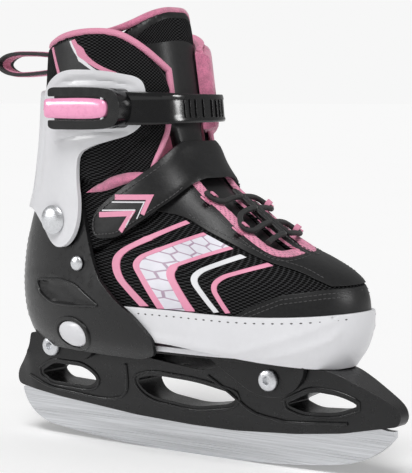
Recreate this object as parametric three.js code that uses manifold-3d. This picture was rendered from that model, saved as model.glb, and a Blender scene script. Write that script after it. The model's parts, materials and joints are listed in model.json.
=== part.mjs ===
// Adjustable ice skate for the right foot: blade, chassis, two-part shell, pivoting cuff, buckle, straps
// and lace.
// Millimetres. +X points to the toe, +Y to the inner (medial) side, +Z up. The blade rests on Z = 0.
import * as THREE from 'three';
import { mergeVertices } from 'three/addons/utils/BufferGeometryUtils.js';
import Module from 'manifold-3d';

const wasm = await Module();
wasm.setup();

// ---------------------------------------------------------------- driving dimensions
const BOOT_LENGTH = 226; // heel to toe of the soft boot
const BOOT_HEIGHT = 183; // underside of the shell to the top of the collar
const BALL_WIDTH = 79.5; // soft boot across the ball of the foot
const CHASSIS_HEIGHT = 57; // ice to the underside of the heel shell

const GAP = 0.3; // between pieces that touch
const RUN = 0.5; // between pieces that slide or turn on each other
const SHELL_GAP = 0.4; // between the soft upper, the toe shell and the heel shell

const BLADE_THICKNESS = 3.6;
const BLADE_SEAT_DEPTH = 8; // steel hidden inside the holder
const BLADE_FLAT = 24; // level part of the running edge
const PIN_R = 2;
const RAIL_HALF = 5.2; // holder half-width at the blade
const TOWER_HALF = 16; // holder half-width under the boot
const EAR = 4; // wall of the lugs beside the towers

const BOLT_R = 3;
const BOLT_HEAD_R = 6;
const BOLT_HEAD = 3;
const NUT = 4;
const WASHER = 1;

const SHELL_WALL = 2.2;
const POCKET_DEPTH = 0.9; // wing-shaped recess in the heel shell
const HEEL_FLOOR = 3;
const TOE_FLOOR = 3;
const PLATE = 4;
const PLATE_HALF = 21;
const BOARD = 4;
const RACK = 4;
const RACK_WIDTH = 5.2;
const TOOTH_PITCH = 6;
const SIZE_TRAVEL = 18;

const UPPER_WALL = 2.4; // soft upper of the toe part
const TONGUE = 5; // lower tongue
const ANKLE_TONGUE = 6.6;
const CUFF_WALL = 2.4;
const RIVET_R = 3.2;
const RIVET_HEAD_R = 8.5;
const SCREW_R = 2;
const SCREW_HEAD_R = 4.4;
const PLATE_HEAD_R = 4; // countersunk heads under the sole plate

const STRAP = 2; // ladder strap thickness
const STRAP_WIDTH = 15.5;
const INSTEP_STRAP = 2.4;
const STRAP_TRAVEL = 10;
const LEVER = 5.2;
const LEVER_PIN_R = 1.5;
const BUCKLE_WALL = 2.9;
const BUTTON_TRAVEL = 3;
const LACE_R = 1.6;
const WEBBING = 1.8;

// Nominal side-view grid; every outline below is drawn on it and then follows the driving dimensions.
const GRID = { length: 226, height: 183, width: 79.5, chassis: 57 };
const along = (x) => (x * BOOT_LENGTH) / GRID.length;
const across = (y) => (y * BALL_WIDTH) / GRID.width;
const up = (z) => (z <= GRID.chassis
  ? (z * CHASSIS_HEIGHT) / GRID.chassis
  : CHASSIS_HEIGHT + ((z - GRID.chassis) * BOOT_HEIGHT) / GRID.height);

// Named places.
const BUSH_R = 4.8;
const FLANGE = 1.2; // inner flange of the ankle rivet
const SPRING_POST = -9; // wall that the button spring pushes on
const BUCKLE_RIVETS = [along(-62), along(-46)];
const STRAP_SCREW_X = along(-24);
const INSTEP_HINGE = { x: along(-22), z: up(134) };
const PIVOT = { x: along(-74), z: up(133) }; // ankle hinge, axis along Y
const REAR_BOLT = { x: along(-91), z: up(57) };
const FRONT_BOLT = { x: along(63), z: up(51) };
const BUTTON = { x: along(-62), z: 0 };
const SHELL_SCREW = { x: along(-56), z: up(109) };
const LEVER_PIN_X = along(-29);
const STRAP_Z = up(196.7);

// Heights of the stacked floor.
const PLATE_BASE = CHASSIS_HEIGHT + 2;
const PLATE_TOP = PLATE_BASE + PLATE;
const FLOOR_BASE = PLATE_TOP + GAP;
const HEEL_FLOOR_TOP = FLOOR_BASE + HEEL_FLOOR;
const RACK_BASE = HEEL_FLOOR_TOP + RUN;
const RACK_TOP = RACK_BASE + RACK;
const FOOT_BASE = FLOOR_BASE + TOE_FLOOR + RUN; // the soft toe starts here
BUTTON.z = RACK_BASE + 1;

// ---------------------------------------------------------------- solids
function solidOf(geometry) {
  const bare = geometry.clone();
  bare.deleteAttribute('normal');
  bare.deleteAttribute('uv');
  const merged = mergeVertices(bare, 1e-4);
  const vertProperties = new Float32Array(merged.attributes.position.array);
  const triVerts = new Uint32Array(merged.index.array);
  return new wasm.Manifold(new wasm.Mesh({ numProp: 3, vertProperties, triVerts }));
}

function geometryOf(solid) {
  const mesh = solid.getMesh();
  const geometry = new THREE.BufferGeometry();
  geometry.setAttribute('position', new THREE.BufferAttribute(new Float32Array(mesh.vertProperties), 3));
  geometry.setIndex(new THREE.BufferAttribute(new Uint32Array(mesh.triVerts), 1));
  geometry.computeVertexNormals();
  return geometry;
}

// Closed outline through points; a third number rounds that corner.
function outline(points) {
  const shape = new THREE.Shape();
  const corner = (i) => new THREE.Vector2(...points[(i + points.length) % points.length]);
  points.forEach((point, i) => {
    const here = corner(i);
    const radius = point[2] ?? 0;
    const reach = (other) => Math.min(radius, here.distanceTo(other) / 2);
    const before = here.clone().lerp(corner(i - 1), reach(corner(i - 1)) / here.distanceTo(corner(i - 1)));
    const after = here.clone().lerp(corner(i + 1), reach(corner(i + 1)) / here.distanceTo(corner(i + 1)));
    if (i === 0) shape.moveTo(before.x, before.y);
    else shape.lineTo(before.x, before.y);
    if (radius) shape.quadraticCurveTo(here.x, here.y, after.x, after.y);
  });
  shape.closePath();
  return shape;
}

function roundOutline(x, z, halfX, halfZ) {
  const shape = new THREE.Shape();
  shape.absellipse(x, z, halfX, halfZ, 0, 2 * Math.PI);
  return shape;
}

const sideGrid = (points) => outline(points.map(([x, z, r]) => [along(x), up(z), r]));

function extrude(shape, depth, curveSegments = 3) {
  return new THREE.ExtrudeGeometry(shape, { depth, bevelEnabled: false, curveSegments });
}

// Side-view outline (x, z), solid from y0 to y1.
function side(shape, y0, y1, curveSegments) {
  const geometry = extrude(shape, y1 - y0, curveSegments);
  geometry.rotateX(Math.PI / 2);
  geometry.translate(0, y1, 0);
  return solidOf(geometry);
}

// Plan outline (x, y), solid from z0 to z1.
function plan(shape, z0, z1) {
  const geometry = extrude(shape, z1 - z0);
  geometry.translate(0, 0, z0);
  return solidOf(geometry);
}

// Front-view outline (y, z), solid from x0 to x1.
function front(shape, x0, x1) {
  const geometry = extrude(shape, x1 - x0);
  geometry.rotateX(Math.PI / 2);
  geometry.rotateZ(Math.PI / 2);
  geometry.translate(x0, 0, 0);
  return solidOf(geometry);
}

function box(x0, x1, y0, y1, z0, z1) {
  const geometry = new THREE.BoxGeometry(x1 - x0, y1 - y0, z1 - z0);
  geometry.translate((x0 + x1) / 2, (y0 + y1) / 2, (z0 + z1) / 2);
  return solidOf(geometry);
}

// Turned piece: profile of [radius, distance] along +Y from `start`; `way` -1 turns it to point along -Y.
function turnedY(profile, x, start, z, way = 1, segments = 16) {
  const points = profile.map(([radius, distance]) => new THREE.Vector2(radius, distance));
  const geometry = new THREE.LatheGeometry(points, segments);
  if (way < 0) geometry.rotateZ(Math.PI);
  geometry.translate(x, start, z);
  return solidOf(geometry);
}

function turnedZ(profile, x, y, start, segments = 16) {
  const points = profile.map(([radius, distance]) => new THREE.Vector2(radius, distance));
  const geometry = new THREE.LatheGeometry(points, segments);
  geometry.rotateX(Math.PI / 2);
  geometry.translate(x, y, start);
  return solidOf(geometry);
}

const rodY = (radius, x, z, y0, y1, segments) => (
  turnedY([[0, 0], [radius, 0], [radius, y1 - y0], [0, y1 - y0]], x, y0, z, 1, segments));

// ---------------------------------------------------------------- boot form
// Horizontal sections: height, heel end, toe end, widest place, outer half-width, inner half-width.
const SECTIONS = [
  [48, -101, 92, 20, 24, 23],
  [58, -107, 96, 22, 32.5, 31],
  [66, -112, 101, 25, 38, 36.5],
  [76, -116, 104.5, 27, 40.2, 38.8],
  [90, -118, 105.5, 27, 40.5, 39],
  [98, -118, 104, 24, 39.7, 38.2],
  [104, -117.6, 100.5, 20, 38.6, 37.2],
  [109, -117, 93.5, 14, 37.6, 36.2],
  [115, -116, 81, 6, 36.4, 35],
  [121, -114.6, 66, -2, 35.3, 34],
  [129, -112, 52, -14, 34, 33],
  [139, -108, 38, -27, 33, 32],
  [150, -103.5, 21, -39, 32.3, 31.3],
  [163, -100, 8.5, -46, 32, 31],
  [178, -97, 1, -50, 32, 31],
  [203, -94, -3, -53, 32.2, 31.2],
  [240, -90, -9, -55, 32.4, 31.4],
  [262, -88, -13, -56, 32.4, 31.4],
];
const TIP_SHIFT = across(6); // the toe leans to the inner side
const REAR_POWER = 2.2;
const sectionCurve = new THREE.CubicInterpolant(
  SECTIONS.map(([z]) => up(z)),
  SECTIONS.flatMap(([, rear, tip, widest, outer, inner]) => (
    [along(rear), along(tip), along(widest), across(outer), across(inner)])),
  5,
);

function sectionAt(z) {
  const [rear, tip, widest, outer, inner] = sectionCurve.evaluate(z);
  return { rear, tip, widest, outer, inner };
}

const frontPower = (z) => THREE.MathUtils.mapLinear(
  THREE.MathUtils.clamp(z, up(110), up(170)), up(110), up(170), 2.3, 2.8);

// One layer of the boot: its section at height z, grown by `sides` and, at the toe or shin, by `tip`.
function layerSection(z, layer) {
  const here = sectionAt(z);
  const above = sectionAt(z + 1);
  const lean = Math.hypot(1, Math.min(0, above.tip - here.tip));
  return {
    rear: here.rear - layer.sides,
    tip: here.tip + layer.tip * Math.min(lean, 2.5),
    widest: here.widest,
    outer: here.outer + layer.sides,
    inner: here.inner + layer.sides,
    power: frontPower(z),
  };
}

const leanAt = (section, forward) => (
  TIP_SHIFT * forward ** 2 * THREE.MathUtils.clamp((section.tip - along(20)) / along(60), 0, 1));

function sectionPoint(section, angle) {
  const c = Math.cos(angle);
  const s = Math.sin(angle);
  const power = c > 0 ? section.power : REAR_POWER;
  const reach = c > 0 ? section.tip - section.widest : section.widest - section.rear;
  const half = s > 0 ? section.inner : section.outer;
  const forward = Math.sign(c) * Math.abs(c) ** (2 / power);
  const shift = leanAt(section, Math.max(0, forward));
  return [section.widest + reach * forward, half * Math.sign(s) * Math.abs(s) ** (2 / power) + shift];
}

// Distance from the middle plane to a layer at a place on the side view; way -1 is the lateral side.
function faceAt(x, z, thisLayer, way = -1) {
  const section = layerSection(z, thisLayer);
  const ahead = x > section.widest;
  const power = ahead ? section.power : REAR_POWER;
  const reach = ahead ? section.tip - section.widest : section.widest - section.rear;
  const forward = Math.min(1, Math.abs(x - section.widest) / reach);
  const half = (way < 0 ? section.outer : section.inner) * (1 - forward ** power) ** (1 / power);
  return half + (ahead ? way * leanAt(section, forward) : 0);
}

// The highest (or with `pick` Math.min the lowest) face under a round head.
function faceUnder({ x, z }, radius, thisLayer, way, pick = Math.max) {
  const steps = [-1, -0.7, 0, 0.7, 1];
  return pick(...steps.flatMap((i) => steps.map((k) => (
    faceAt(x + i * radius, z + k * radius, thisLayer, way)))));
}

const layer = (sides, tip = sides) => ({ sides, tip });

const LEVELS = [57, 66, 78, 90, 98, 104, 110, 117, 126, 138, 152, 168, 188, 212, 240];
const RING = 26;

function loft(thisLayer, low = 49, high = 257) {
  const heights = [low, ...LEVELS.filter((z) => z > low + 1 && z < high - 1), high].map(up);
  const positions = [];
  heights.forEach((z) => {
    const section = layerSection(z, thisLayer);
    for (let k = 0; k < RING; k += 1) positions.push(...sectionPoint(section, (2 * Math.PI * k) / RING), z);
  });
  const index = [];
  for (let row = 0; row < heights.length - 1; row += 1) {
    for (let k = 0; k < RING; k += 1) {
      const a = row * RING + k;
      const b = row * RING + ((k + 1) % RING);
      index.push(a, b, b + RING, a, b + RING, a + RING);
    }
  }
  const lastRow = (heights.length - 1) * RING;
  for (let k = 1; k < RING - 1; k += 1) {
    index.push(0, k + 1, k);
    index.push(lastRow, lastRow + k, lastRow + k + 1);
  }
  const geometry = new THREE.BufferGeometry();
  geometry.setAttribute('position', new THREE.Float32BufferAttribute(positions, 3));
  geometry.setIndex(index);
  return solidOf(geometry);
}

// The wall between two layers, over the heights given.
function wall(innerLayer, outerLayer, low, high) {
  return loft(outerLayer, low, high).subtract(loft(innerLayer, low - 3, high + 3));
}

const WIDE = across(70);
const everySide = (shape, segments) => side(shape, -WIDE, WIDE, segments);

// Layers, from the foot outwards.
const LINING = layer(-4.6);
const UPPER_IN = layer(-UPPER_WALL);
const UPPER_OUT = layer(0);
const TOE_IN = layer(SHELL_GAP);
const TOE_OUT = layer(SHELL_GAP + SHELL_WALL);
const HEEL_IN = layer(TOE_OUT.sides + SHELL_GAP);
const HEEL_OUT = layer(HEEL_IN.sides + SHELL_WALL);
const QUARTER_IN = layer(-1.4, -3.4);
const QUARTER_OUT = layer(2.4, 0);
const COLLAR_IN = layer(-1.5, -2.6);
const COLLAR_OUT = layer(HEEL_OUT.sides + 1, 1.4);
const CUFF_IN = layer(COLLAR_OUT.sides + RUN, COLLAR_OUT.tip + RUN);
const CUFF_OUT = layer(CUFF_IN.sides + CUFF_WALL, CUFF_IN.tip + CUFF_WALL);
const INSTEP_IN = layer(3.3, 1.2);
const INSTEP_OUT = layer(3.3 + INSTEP_STRAP, 1.2 + INSTEP_STRAP);
const LADDER_IN = layer(CUFF_OUT.sides + 2.1, CUFF_OUT.tip + RUN);
const LADDER_OUT = layer(LADDER_IN.sides + STRAP, LADDER_IN.tip + STRAP);

// ---------------------------------------------------------------- scene helpers
const skate = new THREE.Group();
const LOOKS = {
  steel: [0xb9bcc0, 0.3, 1],
  silver: [0xc9cbcf, 0.28, 1],
  blackPlastic: [0x1d1d1f, 0.42, 0],
  whitePlastic: [0xe9e9ec, 0.4, 0],
  greyPlastic: [0x8f9094, 0.5, 0],
  pinkPlastic: [0xf7a3c4, 0.35, 0],
  blackLeather: [0x222224, 0.6, 0],
  blackMesh: [0x2a2a2c, 0.9, 0],
  pinkFleece: [0xd8779d, 0.95, 0],
  webbing: [0x202022, 0.85, 0],
  foam: [0x3a3a3d, 0.9, 0],
};
const materials = Object.fromEntries(Object.entries(LOOKS).map(([name, [color, roughness, metalness]]) => (
  [name, new THREE.MeshStandardMaterial({ color, roughness, metalness })])));

function add(name, solid, material) {
  const mesh = new THREE.Mesh(geometryOf(solid), materials[material]);
  mesh.name = name;
  skate.add(mesh);
}

const SIDES = [['lateral', -1], ['medial', 1]];

// ---------------------------------------------------------------- blade and chassis
const BLADE_TOP = [
  [-120, 27.5], [-96, 24], [-40, 19], [0, 17.4], [30, 17.4], [70, 20], [100, 23.5], [132, 31],
];

const BLADE_TOE = along(126); // front end of the steel inside the holder

function bladeOutline() {
  const shape = new THREE.Shape();
  const seat = BLADE_TOP.map(([x, z]) => [along(x), up(z) + BLADE_SEAT_DEPTH]);
  shape.moveTo(along(-131), up(26));
  shape.quadraticCurveTo(along(-127), up(11), along(-109), up(6.2));
  shape.quadraticCurveTo(along(-62), 0, -BLADE_FLAT / 2, 0);
  shape.lineTo(BLADE_FLAT / 2, 0);
  shape.quadraticCurveTo(along(66), 0, along(100), up(6.4));
  shape.quadraticCurveTo(along(120), up(11), along(130), up(24));
  shape.lineTo(along(130), up(27.5));
  shape.lineTo(BLADE_TOE, up(27.5));
  seat.reverse().forEach(([x, z]) => shape.lineTo(Math.min(x, BLADE_TOE), z));
  return shape;
}

const PINS = [
  ['blade_pin_rear', along(-88), up(27)],
  ['blade_pin_middle', along(2), up(21.2)],
  ['blade_pin_front', along(88), up(26)],
];
const bladeShape = bladeOutline();
let blade = side(bladeShape, -BLADE_THICKNESS / 2, BLADE_THICKNESS / 2, 12);
PINS.forEach(([, x, z]) => {
  blade = blade.subtract(rodY(PIN_R + GAP, x, z, -BLADE_THICKNESS, BLADE_THICKNESS, 14));
});
add('blade', blade, 'steel');

const HOLDER_OUTLINE = [
  [-131.5, 29, 4], [-130.5, 37, 8], [-122, 45, 8], [-114, 52, 6], [-112, 63, 2], [-60.5, 63, 2],
  [-59.5, 58.4, 2], [-42, 58.4, 6], [-22, 55, 20], [20, 51, 12], [30, 58.4, 4], [87, 58.4, 4],
  [99, 57.5, 8], [120, 48, 8], [133, 41, 6], [135.6, 35, 3], [133, 30.5, 2],
  ...BLADE_TOP.slice(0, -1).reverse().map(([x, z]) => [x, z, 4]),
];
const HOLDER_WINDOWS = [
  [[-108, 39, 3], [-101, 34, 4], [-72, 33, 5], [-64, 38, 5], [-73, 45, 5], [-96, 45.5, 4]],
  [[-36, 41, 5], [-28, 32, 9], [4, 28.6, 9], [30, 33, 5], [36, 38.5, 4], [8, 43.6, 9], [-22, 45, 8]],
  [[67, 37, 3], [78, 33.5, 5], [98, 35, 5], [112, 40, 4], [101, 44.5, 5], [86, 46, 5]],
];

function holder() {
  const width = outline([
    [-RAIL_HALF, up(14)], [-RAIL_HALF - 0.6, up(22)], [-8.5, up(30)], [-12, up(42)], [-TOWER_HALF, up(52)],
    [-TOWER_HALF, up(64)], [TOWER_HALF, up(64)], [TOWER_HALF, up(52)], [12, up(42)], [8.5, up(30)],
    [RAIL_HALF + 0.6, up(22)], [RAIL_HALF, up(14)],
  ]);
  const reach = TOWER_HALF + 2;
  let solid = side(sideGrid(HOLDER_OUTLINE), -reach, reach).intersect(front(width, along(-140), along(145)));
  HOLDER_WINDOWS.forEach((window) => {
    solid = solid.subtract(side(sideGrid(window), -reach, reach));
  });
  const slotHalf = BLADE_THICKNESS / 2 + GAP;
  const slotTop = BLADE_TOP.map(([x, z]) => [along(x), up(z) + BLADE_SEAT_DEPTH + GAP]);
  slotTop.at(-1)[0] = BLADE_TOE + GAP;
  const slot = outline([
    [along(-140), 0], [along(-140), slotTop[0][1]], ...slotTop, [BLADE_TOE + GAP, up(28)],
    [along(145), up(28)], [along(145), 0],
  ]);
  solid = solid.subtract(side(slot, -slotHalf, slotHalf));
  PINS.forEach(([, x, z]) => {
    solid = solid.subtract(rodY(PIN_R + GAP, x, z, -reach, reach, 14));
  });
  [REAR_BOLT, FRONT_BOLT].forEach(({ x, z }) => {
    solid = solid.subtract(rodY(BOLT_R + GAP, x, z, -reach, reach));
  });
  return solid;
}
add('blade_holder', holder(), 'blackPlastic');

PINS.forEach(([name, x, z]) => {
  add(name, rodY(PIN_R, x, z, -RAIL_HALF - 0.4, RAIL_HALF + 0.4, 14), 'silver');
});

// Lug beside a tower on both sides, hanging from `top`.
function lugs(points) {
  const shape = sideGrid(points);
  const inside = TOWER_HALF + RUN;
  return side(shape, -inside - EAR, -inside).add(side(shape, inside, inside + EAR));
}

// Cross bolt on the lateral side, washer and nut on the medial side, outside the lugs.
function crossBolt(name, { x, z }) {
  const face = TOWER_HALF + RUN + EAR + GAP;
  const tail = face + WASHER + GAP + NUT;
  const r = BOLT_HEAD_R;
  const bolt = turnedY([
    [0, 0], [r - 2, 0], [r - 0.6, 0.6], [r, 1.6], [r, BOLT_HEAD], [BOLT_R, BOLT_HEAD],
    [BOLT_R, face + BOLT_HEAD + tail], [0, face + BOLT_HEAD + tail],
  ], x, -face - BOLT_HEAD, z, 1, 20);
  const socket = rodY(2.4, x, z, -face - BOLT_HEAD - 1, -face - 1, 6);
  add(`${name}_bolt`, bolt.subtract(socket), 'silver');
  const washer = rodY(BOLT_HEAD_R, x, z, face, face + WASHER, 20);
  const hole = rodY(BOLT_R + GAP, x, z, 0, face * 2, 18);
  add(`${name}_washer`, washer.subtract(hole), 'silver');
  const nut = rodY(BOLT_HEAD_R - 0.6, x, z, face + WASHER + GAP, tail, 6);
  add(`${name}_nut`, nut.subtract(hole), 'silver');
}
crossBolt('rear', REAR_BOLT);
crossBolt('front', FRONT_BOLT);

// ---------------------------------------------------------------- sole
const PLATE_SCREWS = [['plate_screw_rear', along(-46)], ['plate_screw_front', along(-20)]];

function solePlate() {
  const reach = PLATE_HALF;
  const shape = outline([
    [along(-58), -reach, 6], [along(84), -reach, 12], [along(84), reach, 12], [along(-58), reach, 6],
  ]);
  let solid = plan(shape, PLATE_BASE, PLATE_TOP);
  const lobe = [
    [22, 61], [26, 57, 6], [40, 49, 8], [52, 42, 8], [68, 41, 8], [80, 47, 8], [85, 56, 4], [84, 61],
  ];
  solid = solid.add(lugs(lobe));
  PLATE_SCREWS.forEach(([, x]) => {
    const hole = [
      [0, -1], [PLATE_HEAD_R + GAP, -1], [PLATE_HEAD_R + GAP, 2], [SCREW_R + GAP, 2], [SCREW_R + GAP, 9],
      [0, 9],
    ];
    solid = solid.subtract(turnedZ(hole, x, 0, PLATE_BASE));
  });
  return solid.subtract(rodY(BOLT_R + GAP, FRONT_BOLT.x, FRONT_BOLT.z, -WIDE, WIDE));
}
add('sole_plate', solePlate(), 'blackPlastic');

PLATE_SCREWS.forEach(([name, x]) => {
  const length = PLATE + GAP + HEEL_FLOOR - 0.2;
  const r = PLATE_HEAD_R;
  const profile = [[0, 0.2], [r, 0.2], [r, 1.8], [SCREW_R, 1.8], [SCREW_R, length], [0, length]];
  add(name, turnedZ(profile, x, 0, PLATE_BASE), 'silver');
});

// ---------------------------------------------------------------- heel shell
const HEEL_SIDE = [
  [-135, 151], [-57, 151, 3], [-51, 128, 8], [-46, 113, 8], [-40, 102, 6], [-27, 91, 8], [-11, 82, 8],
  [2, 70, 4], [0, 61, 4], [-12, 57.5, 4], [-135, 57.5],
];
const HEEL_POCKET = [
  [-95, 97, 3], [-72, 99, 4], [-58, 97, 5], [-38, 86, 2], [-60, 84.5, 5], [-80, 84.5, 6], [-93, 90, 4],
];
const BUTTON_HALF = { x: 12, z: 7.5 };
const buttonOutline = (grow) => roundOutline(BUTTON.x, BUTTON.z, BUTTON_HALF.x + grow, BUTTON_HALF.z + grow);

// A through hole along Y on both sides.
const drill = (solid, radius, { x, z }) => solid.subtract(rodY(radius, x, z, -WIDE, WIDE));
const insideBoot = (z0, z1) => box(along(-140), along(140), -WIDE, WIDE, z0, z1);

function heelShell() {
  const ahead = along(-8);
  const floor = loft(layer(HEEL_IN.sides + 1), 49, 92)
    .intersect(box(along(-140), ahead, -WIDE, WIDE, FLOOR_BASE, HEEL_FLOOR_TOP));
  const shell = wall(HEEL_IN, HEEL_OUT, 57.2, 152).intersect(everySide(sideGrid(HEEL_SIDE)));
  const inner = TOWER_HALF + RUN;
  const rail = (sign) => box(
    along(-100), along(-44), Math.min(sign * inner, sign * (PLATE_HALF + 3)),
    Math.max(sign * inner, sign * (PLATE_HALF + 3)), FLOOR_BASE - 1, FLOOR_BASE + 1,
  );
  let solid = shell.add(floor).add(rail(-1)).add(rail(1));
  solid = solid.subtract(box(along(-59), along(10), -PLATE_HALF - RUN, PLATE_HALF + RUN, up(50), FLOOR_BASE));
  solid = solid.subtract(box(along(-140), along(-58), -inner, inner, up(50), FLOOR_BASE));
  const lug = [
    [-104, 65.5], [-104, 58, 3], [-97, 50, 6], [-70, 49.5, 6], [-62, 53, 4], [-60, 58], [-60, 65.5],
  ];
  solid = solid.add(lugs(lug));
  const pocket = wall(layer(HEEL_OUT.sides - POCKET_DEPTH), layer(9), 80, 104)
    .intersect(everySide(sideGrid(HEEL_POCKET)));
  solid = solid.subtract(pocket);
  PLATE_SCREWS.forEach(([, x]) => {
    const hole = [[0, -6], [SCREW_R + GAP, -6], [SCREW_R + GAP, 6], [0, 6]];
    solid = solid.subtract(turnedZ(hole, x, 0, FLOOR_BASE));
  });
  solid = drill(solid, BUSH_R + GAP, PIVOT);
  solid = drill(solid, SCREW_R + GAP, SHELL_SCREW);
  solid = drill(solid, BOLT_R + GAP, REAR_BOLT);
  const spot = BOLT_HEAD_R + RUN;
  solid = solid.subtract(rodY(spot, REAR_BOLT.x, REAR_BOLT.z, -WIDE, -inner - EAR));
  solid = solid.subtract(rodY(spot, REAR_BOLT.x, REAR_BOLT.z, inner + EAR, WIDE));
  const hole = side(buttonOutline(RUN), -WIDE, -PLATE_HALF - 4, 12);
  solid = solid.subtract(hole.subtract(insideBoot(0, HEEL_FLOOR_TOP)));
  const post = box(
    BUTTON.x - 4, BUTTON.x + 4, SPRING_POST, SPRING_POST + 2, HEEL_FLOOR_TOP - 1, RACK_TOP + 1.5,
  );
  return solid.add(post);
}
add('heel_shell', heelShell(), 'blackPlastic');

SIDES.forEach(([name, way]) => {
  const face = faceUnder(SHELL_SCREW, SCREW_HEAD_R, HEEL_OUT, way) + GAP;
  const inside = face - faceUnder(SHELL_SCREW, 3.4, HEEL_IN, way, Math.min) + GAP;
  const { x, z } = SHELL_SCREW;
  const profile = [
    [0, 0], [2, 0], [SCREW_HEAD_R - 0.6, 0.8], [SCREW_HEAD_R, 1.8], [SCREW_R, 1.8], [SCREW_R, 1.8 + inside],
    [3.4, 1.8 + inside], [3.4, 2.8 + inside], [0, 2.8 + inside],
  ];
  add(`shell_rivet_${name}`, turnedY(profile, x, way * (face + 1.8), z, -way), 'silver');
});

// ---------------------------------------------------------------- toe part
const TOE_SIDE = [
  [-45, 86.5], [-11, 87.2, 4], [20, 87.2, 20], [60, 86.4, 20], [90, 87.4, 10], [125, 90], [125, 57],
  [104, 57.4, 4], [90, 58, 20], [66, 61.5, 20], [40, 65, 20], [8, 68.4, 10], [-45, 68.4],
];

function toeShell() {
  const shell = wall(TOE_IN, TOE_OUT, 56, 92).intersect(everySide(sideGrid(TOE_SIDE)));
  const plate = loft(layer(TOE_IN.sides + 1), 49, 92)
    .intersect(box(along(-7), along(140), -WIDE, WIDE, FLOOR_BASE, FLOOR_BASE + TOE_FLOOR));
  const under = box(along(-60), along(84) + 1, -PLATE_HALF - RUN, PLATE_HALF + RUN, up(40), FLOOR_BASE);
  return shell.add(plate).subtract(under);
}
add('toe_shell', toeShell(), 'whitePlastic');

const RACK_OUTER = -PLATE_HALF - 1.4 - RACK_WIDTH;
const RACK_INNER = -PLATE_HALF - 1.4;
function slideRack() {
  let rack = box(BUTTON.x - SIZE_TRAVEL - 3.5, along(10), RACK_OUTER, RACK_INNER, RACK_BASE, RACK_TOP);
  for (let x = BUTTON.x - SIZE_TRAVEL; x <= BUTTON.x + 0.1; x += TOOTH_PITCH) {
    const notch = box(x - 1.6, x + 1.6, RACK_INNER - 2.4, RACK_INNER + 1, RACK_BASE - 1, RACK_TOP + 1);
    rack = rack.subtract(notch);
  }
  return rack;
}
add('slide_rack', slideRack(), 'blackPlastic');

function toeBoard() {
  const board = loft(LINING, 49, 92)
    .intersect(box(along(-50), along(96), -WIDE, WIDE, RACK_BASE, RACK_BASE + BOARD));
  const room = box(along(-60), along(10) + RUN, -WIDE, RACK_INNER + RUN, RACK_BASE - 1, RACK_TOP + 2);
  return board.subtract(room);
}
add('toe_board', toeBoard(), 'foam');

// Side view of the insole: place along the boot, rise above the rack. It leaves room for the lock.
const INSOLE_SIDE = [
  [-108, 4.1], [-52, 3.5, 4], [-44, 0, 4], [94, 0, 2], [94, 3.6, 2], [-40, 4, 8], [-58, 8.2, 8], [-108, 8.2],
];
const insoleOutline = outline(INSOLE_SIDE.map(([x, rise, r]) => [along(x), RACK_TOP + RUN + rise, r]));
add('insole', loft(LINING, 49, 98).intersect(everySide(insoleOutline)), 'pinkFleece');

// Upper edge line of the toe cap, shared with the vamp.
const CAP_EDGE = [[52, 86], [60, 91], [77, 98.5], [96, 101.5], [125, 103]];
const THROAT = { x: along(67), half: across(14.5), start: along(-40) };
const throatCut = plan(outline([
  [THROAT.start, -THROAT.half], [THROAT.x, -THROAT.half, 12], [THROAT.x, THROAT.half, 12],
  [THROAT.start, THROAT.half],
]), up(100), up(200));

function vamp() {
  const region = sideGrid([
    [-30, 80.2, 2], [-70, 80.2], [-70, 110, 4], [-45, 115, 6], [-6, 134.5, 10], [12, 148], [18, 158],
    [60, 158], [130, 130], ...CAP_EDGE.slice().reverse().map(([x, z]) => [x, z + 0.8]), [51.4, 67.4],
    [8, 67.4, 2], [2, 76.8, 2], [-20, 76.8, 2],
  ]);
  const solid = wall(UPPER_IN, UPPER_OUT, 66, 165).intersect(everySide(region)).subtract(throatCut);
  return solid.intersect(insideBoot(FOOT_BASE, up(200)));
}
add('vamp', vamp(), 'blackMesh');

function toeCap() {
  const region = sideGrid([[52, 67.4], ...CAP_EDGE, [125, 67.4]]);
  const solid = wall(UPPER_IN, UPPER_OUT, 66, 130).intersect(everySide(region));
  return solid.intersect(insideBoot(FOOT_BASE, up(200)));
}
add('toe_cap', toeCap(), 'blackLeather');

function tongueLower() {
  const region = sideGrid([[-5, 148], [25, 154.6], [80, 140], [76, 105], [40, 112], [-5, 140]]);
  const half = THROAT.half + 1.5;
  const strip = plan(outline([
    [along(2), -half, 4], [along(74), -half, 14], [along(74), half, 14], [along(2), half, 4],
  ]), up(100), up(170));
  return wall(layer(-2.8 - TONGUE), layer(-2.8), 100, 165).intersect(everySide(region)).intersect(strip);
}
add('tongue_lower', tongueLower(), 'blackLeather');

// ---------------------------------------------------------------- ankle part of the soft upper
function quarter() {
  const region = sideGrid([
    [-125, 76.6], [-71.5, 76.6], [-71.5, 111, 4], [-47, 117, 6], [-7, 137, 10], [8, 148], [14, 160],
    [2, 176.5],
    [-9, 161], [-39, 141.5, 4], [-57, 149, 4], [-125, 149],
  ]);
  let solid = wall(QUARTER_IN, QUARTER_OUT, 66.8, 185).intersect(everySide(region));
  const gapHalf = THROAT.half + 2;
  solid = solid.subtract(box(along(-20), along(60), -gapHalf, gapHalf, up(120), up(200)));
  SIDES.forEach(([, way]) => {
    const recess = faceUnder(PIVOT, RIVET_R + 2, HEEL_IN, way, Math.min) - FLANGE - 2 * GAP;
    const room = [[0, 0], [BUSH_R + 1.6, 0], [BUSH_R + 1.6, 9], [0, 9]];
    solid = solid.subtract(turnedY(room, PIVOT.x, way * recess, PIVOT.z, way));
  });
  return solid;
}
add('ankle_quarter', quarter(), 'blackMesh');

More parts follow.
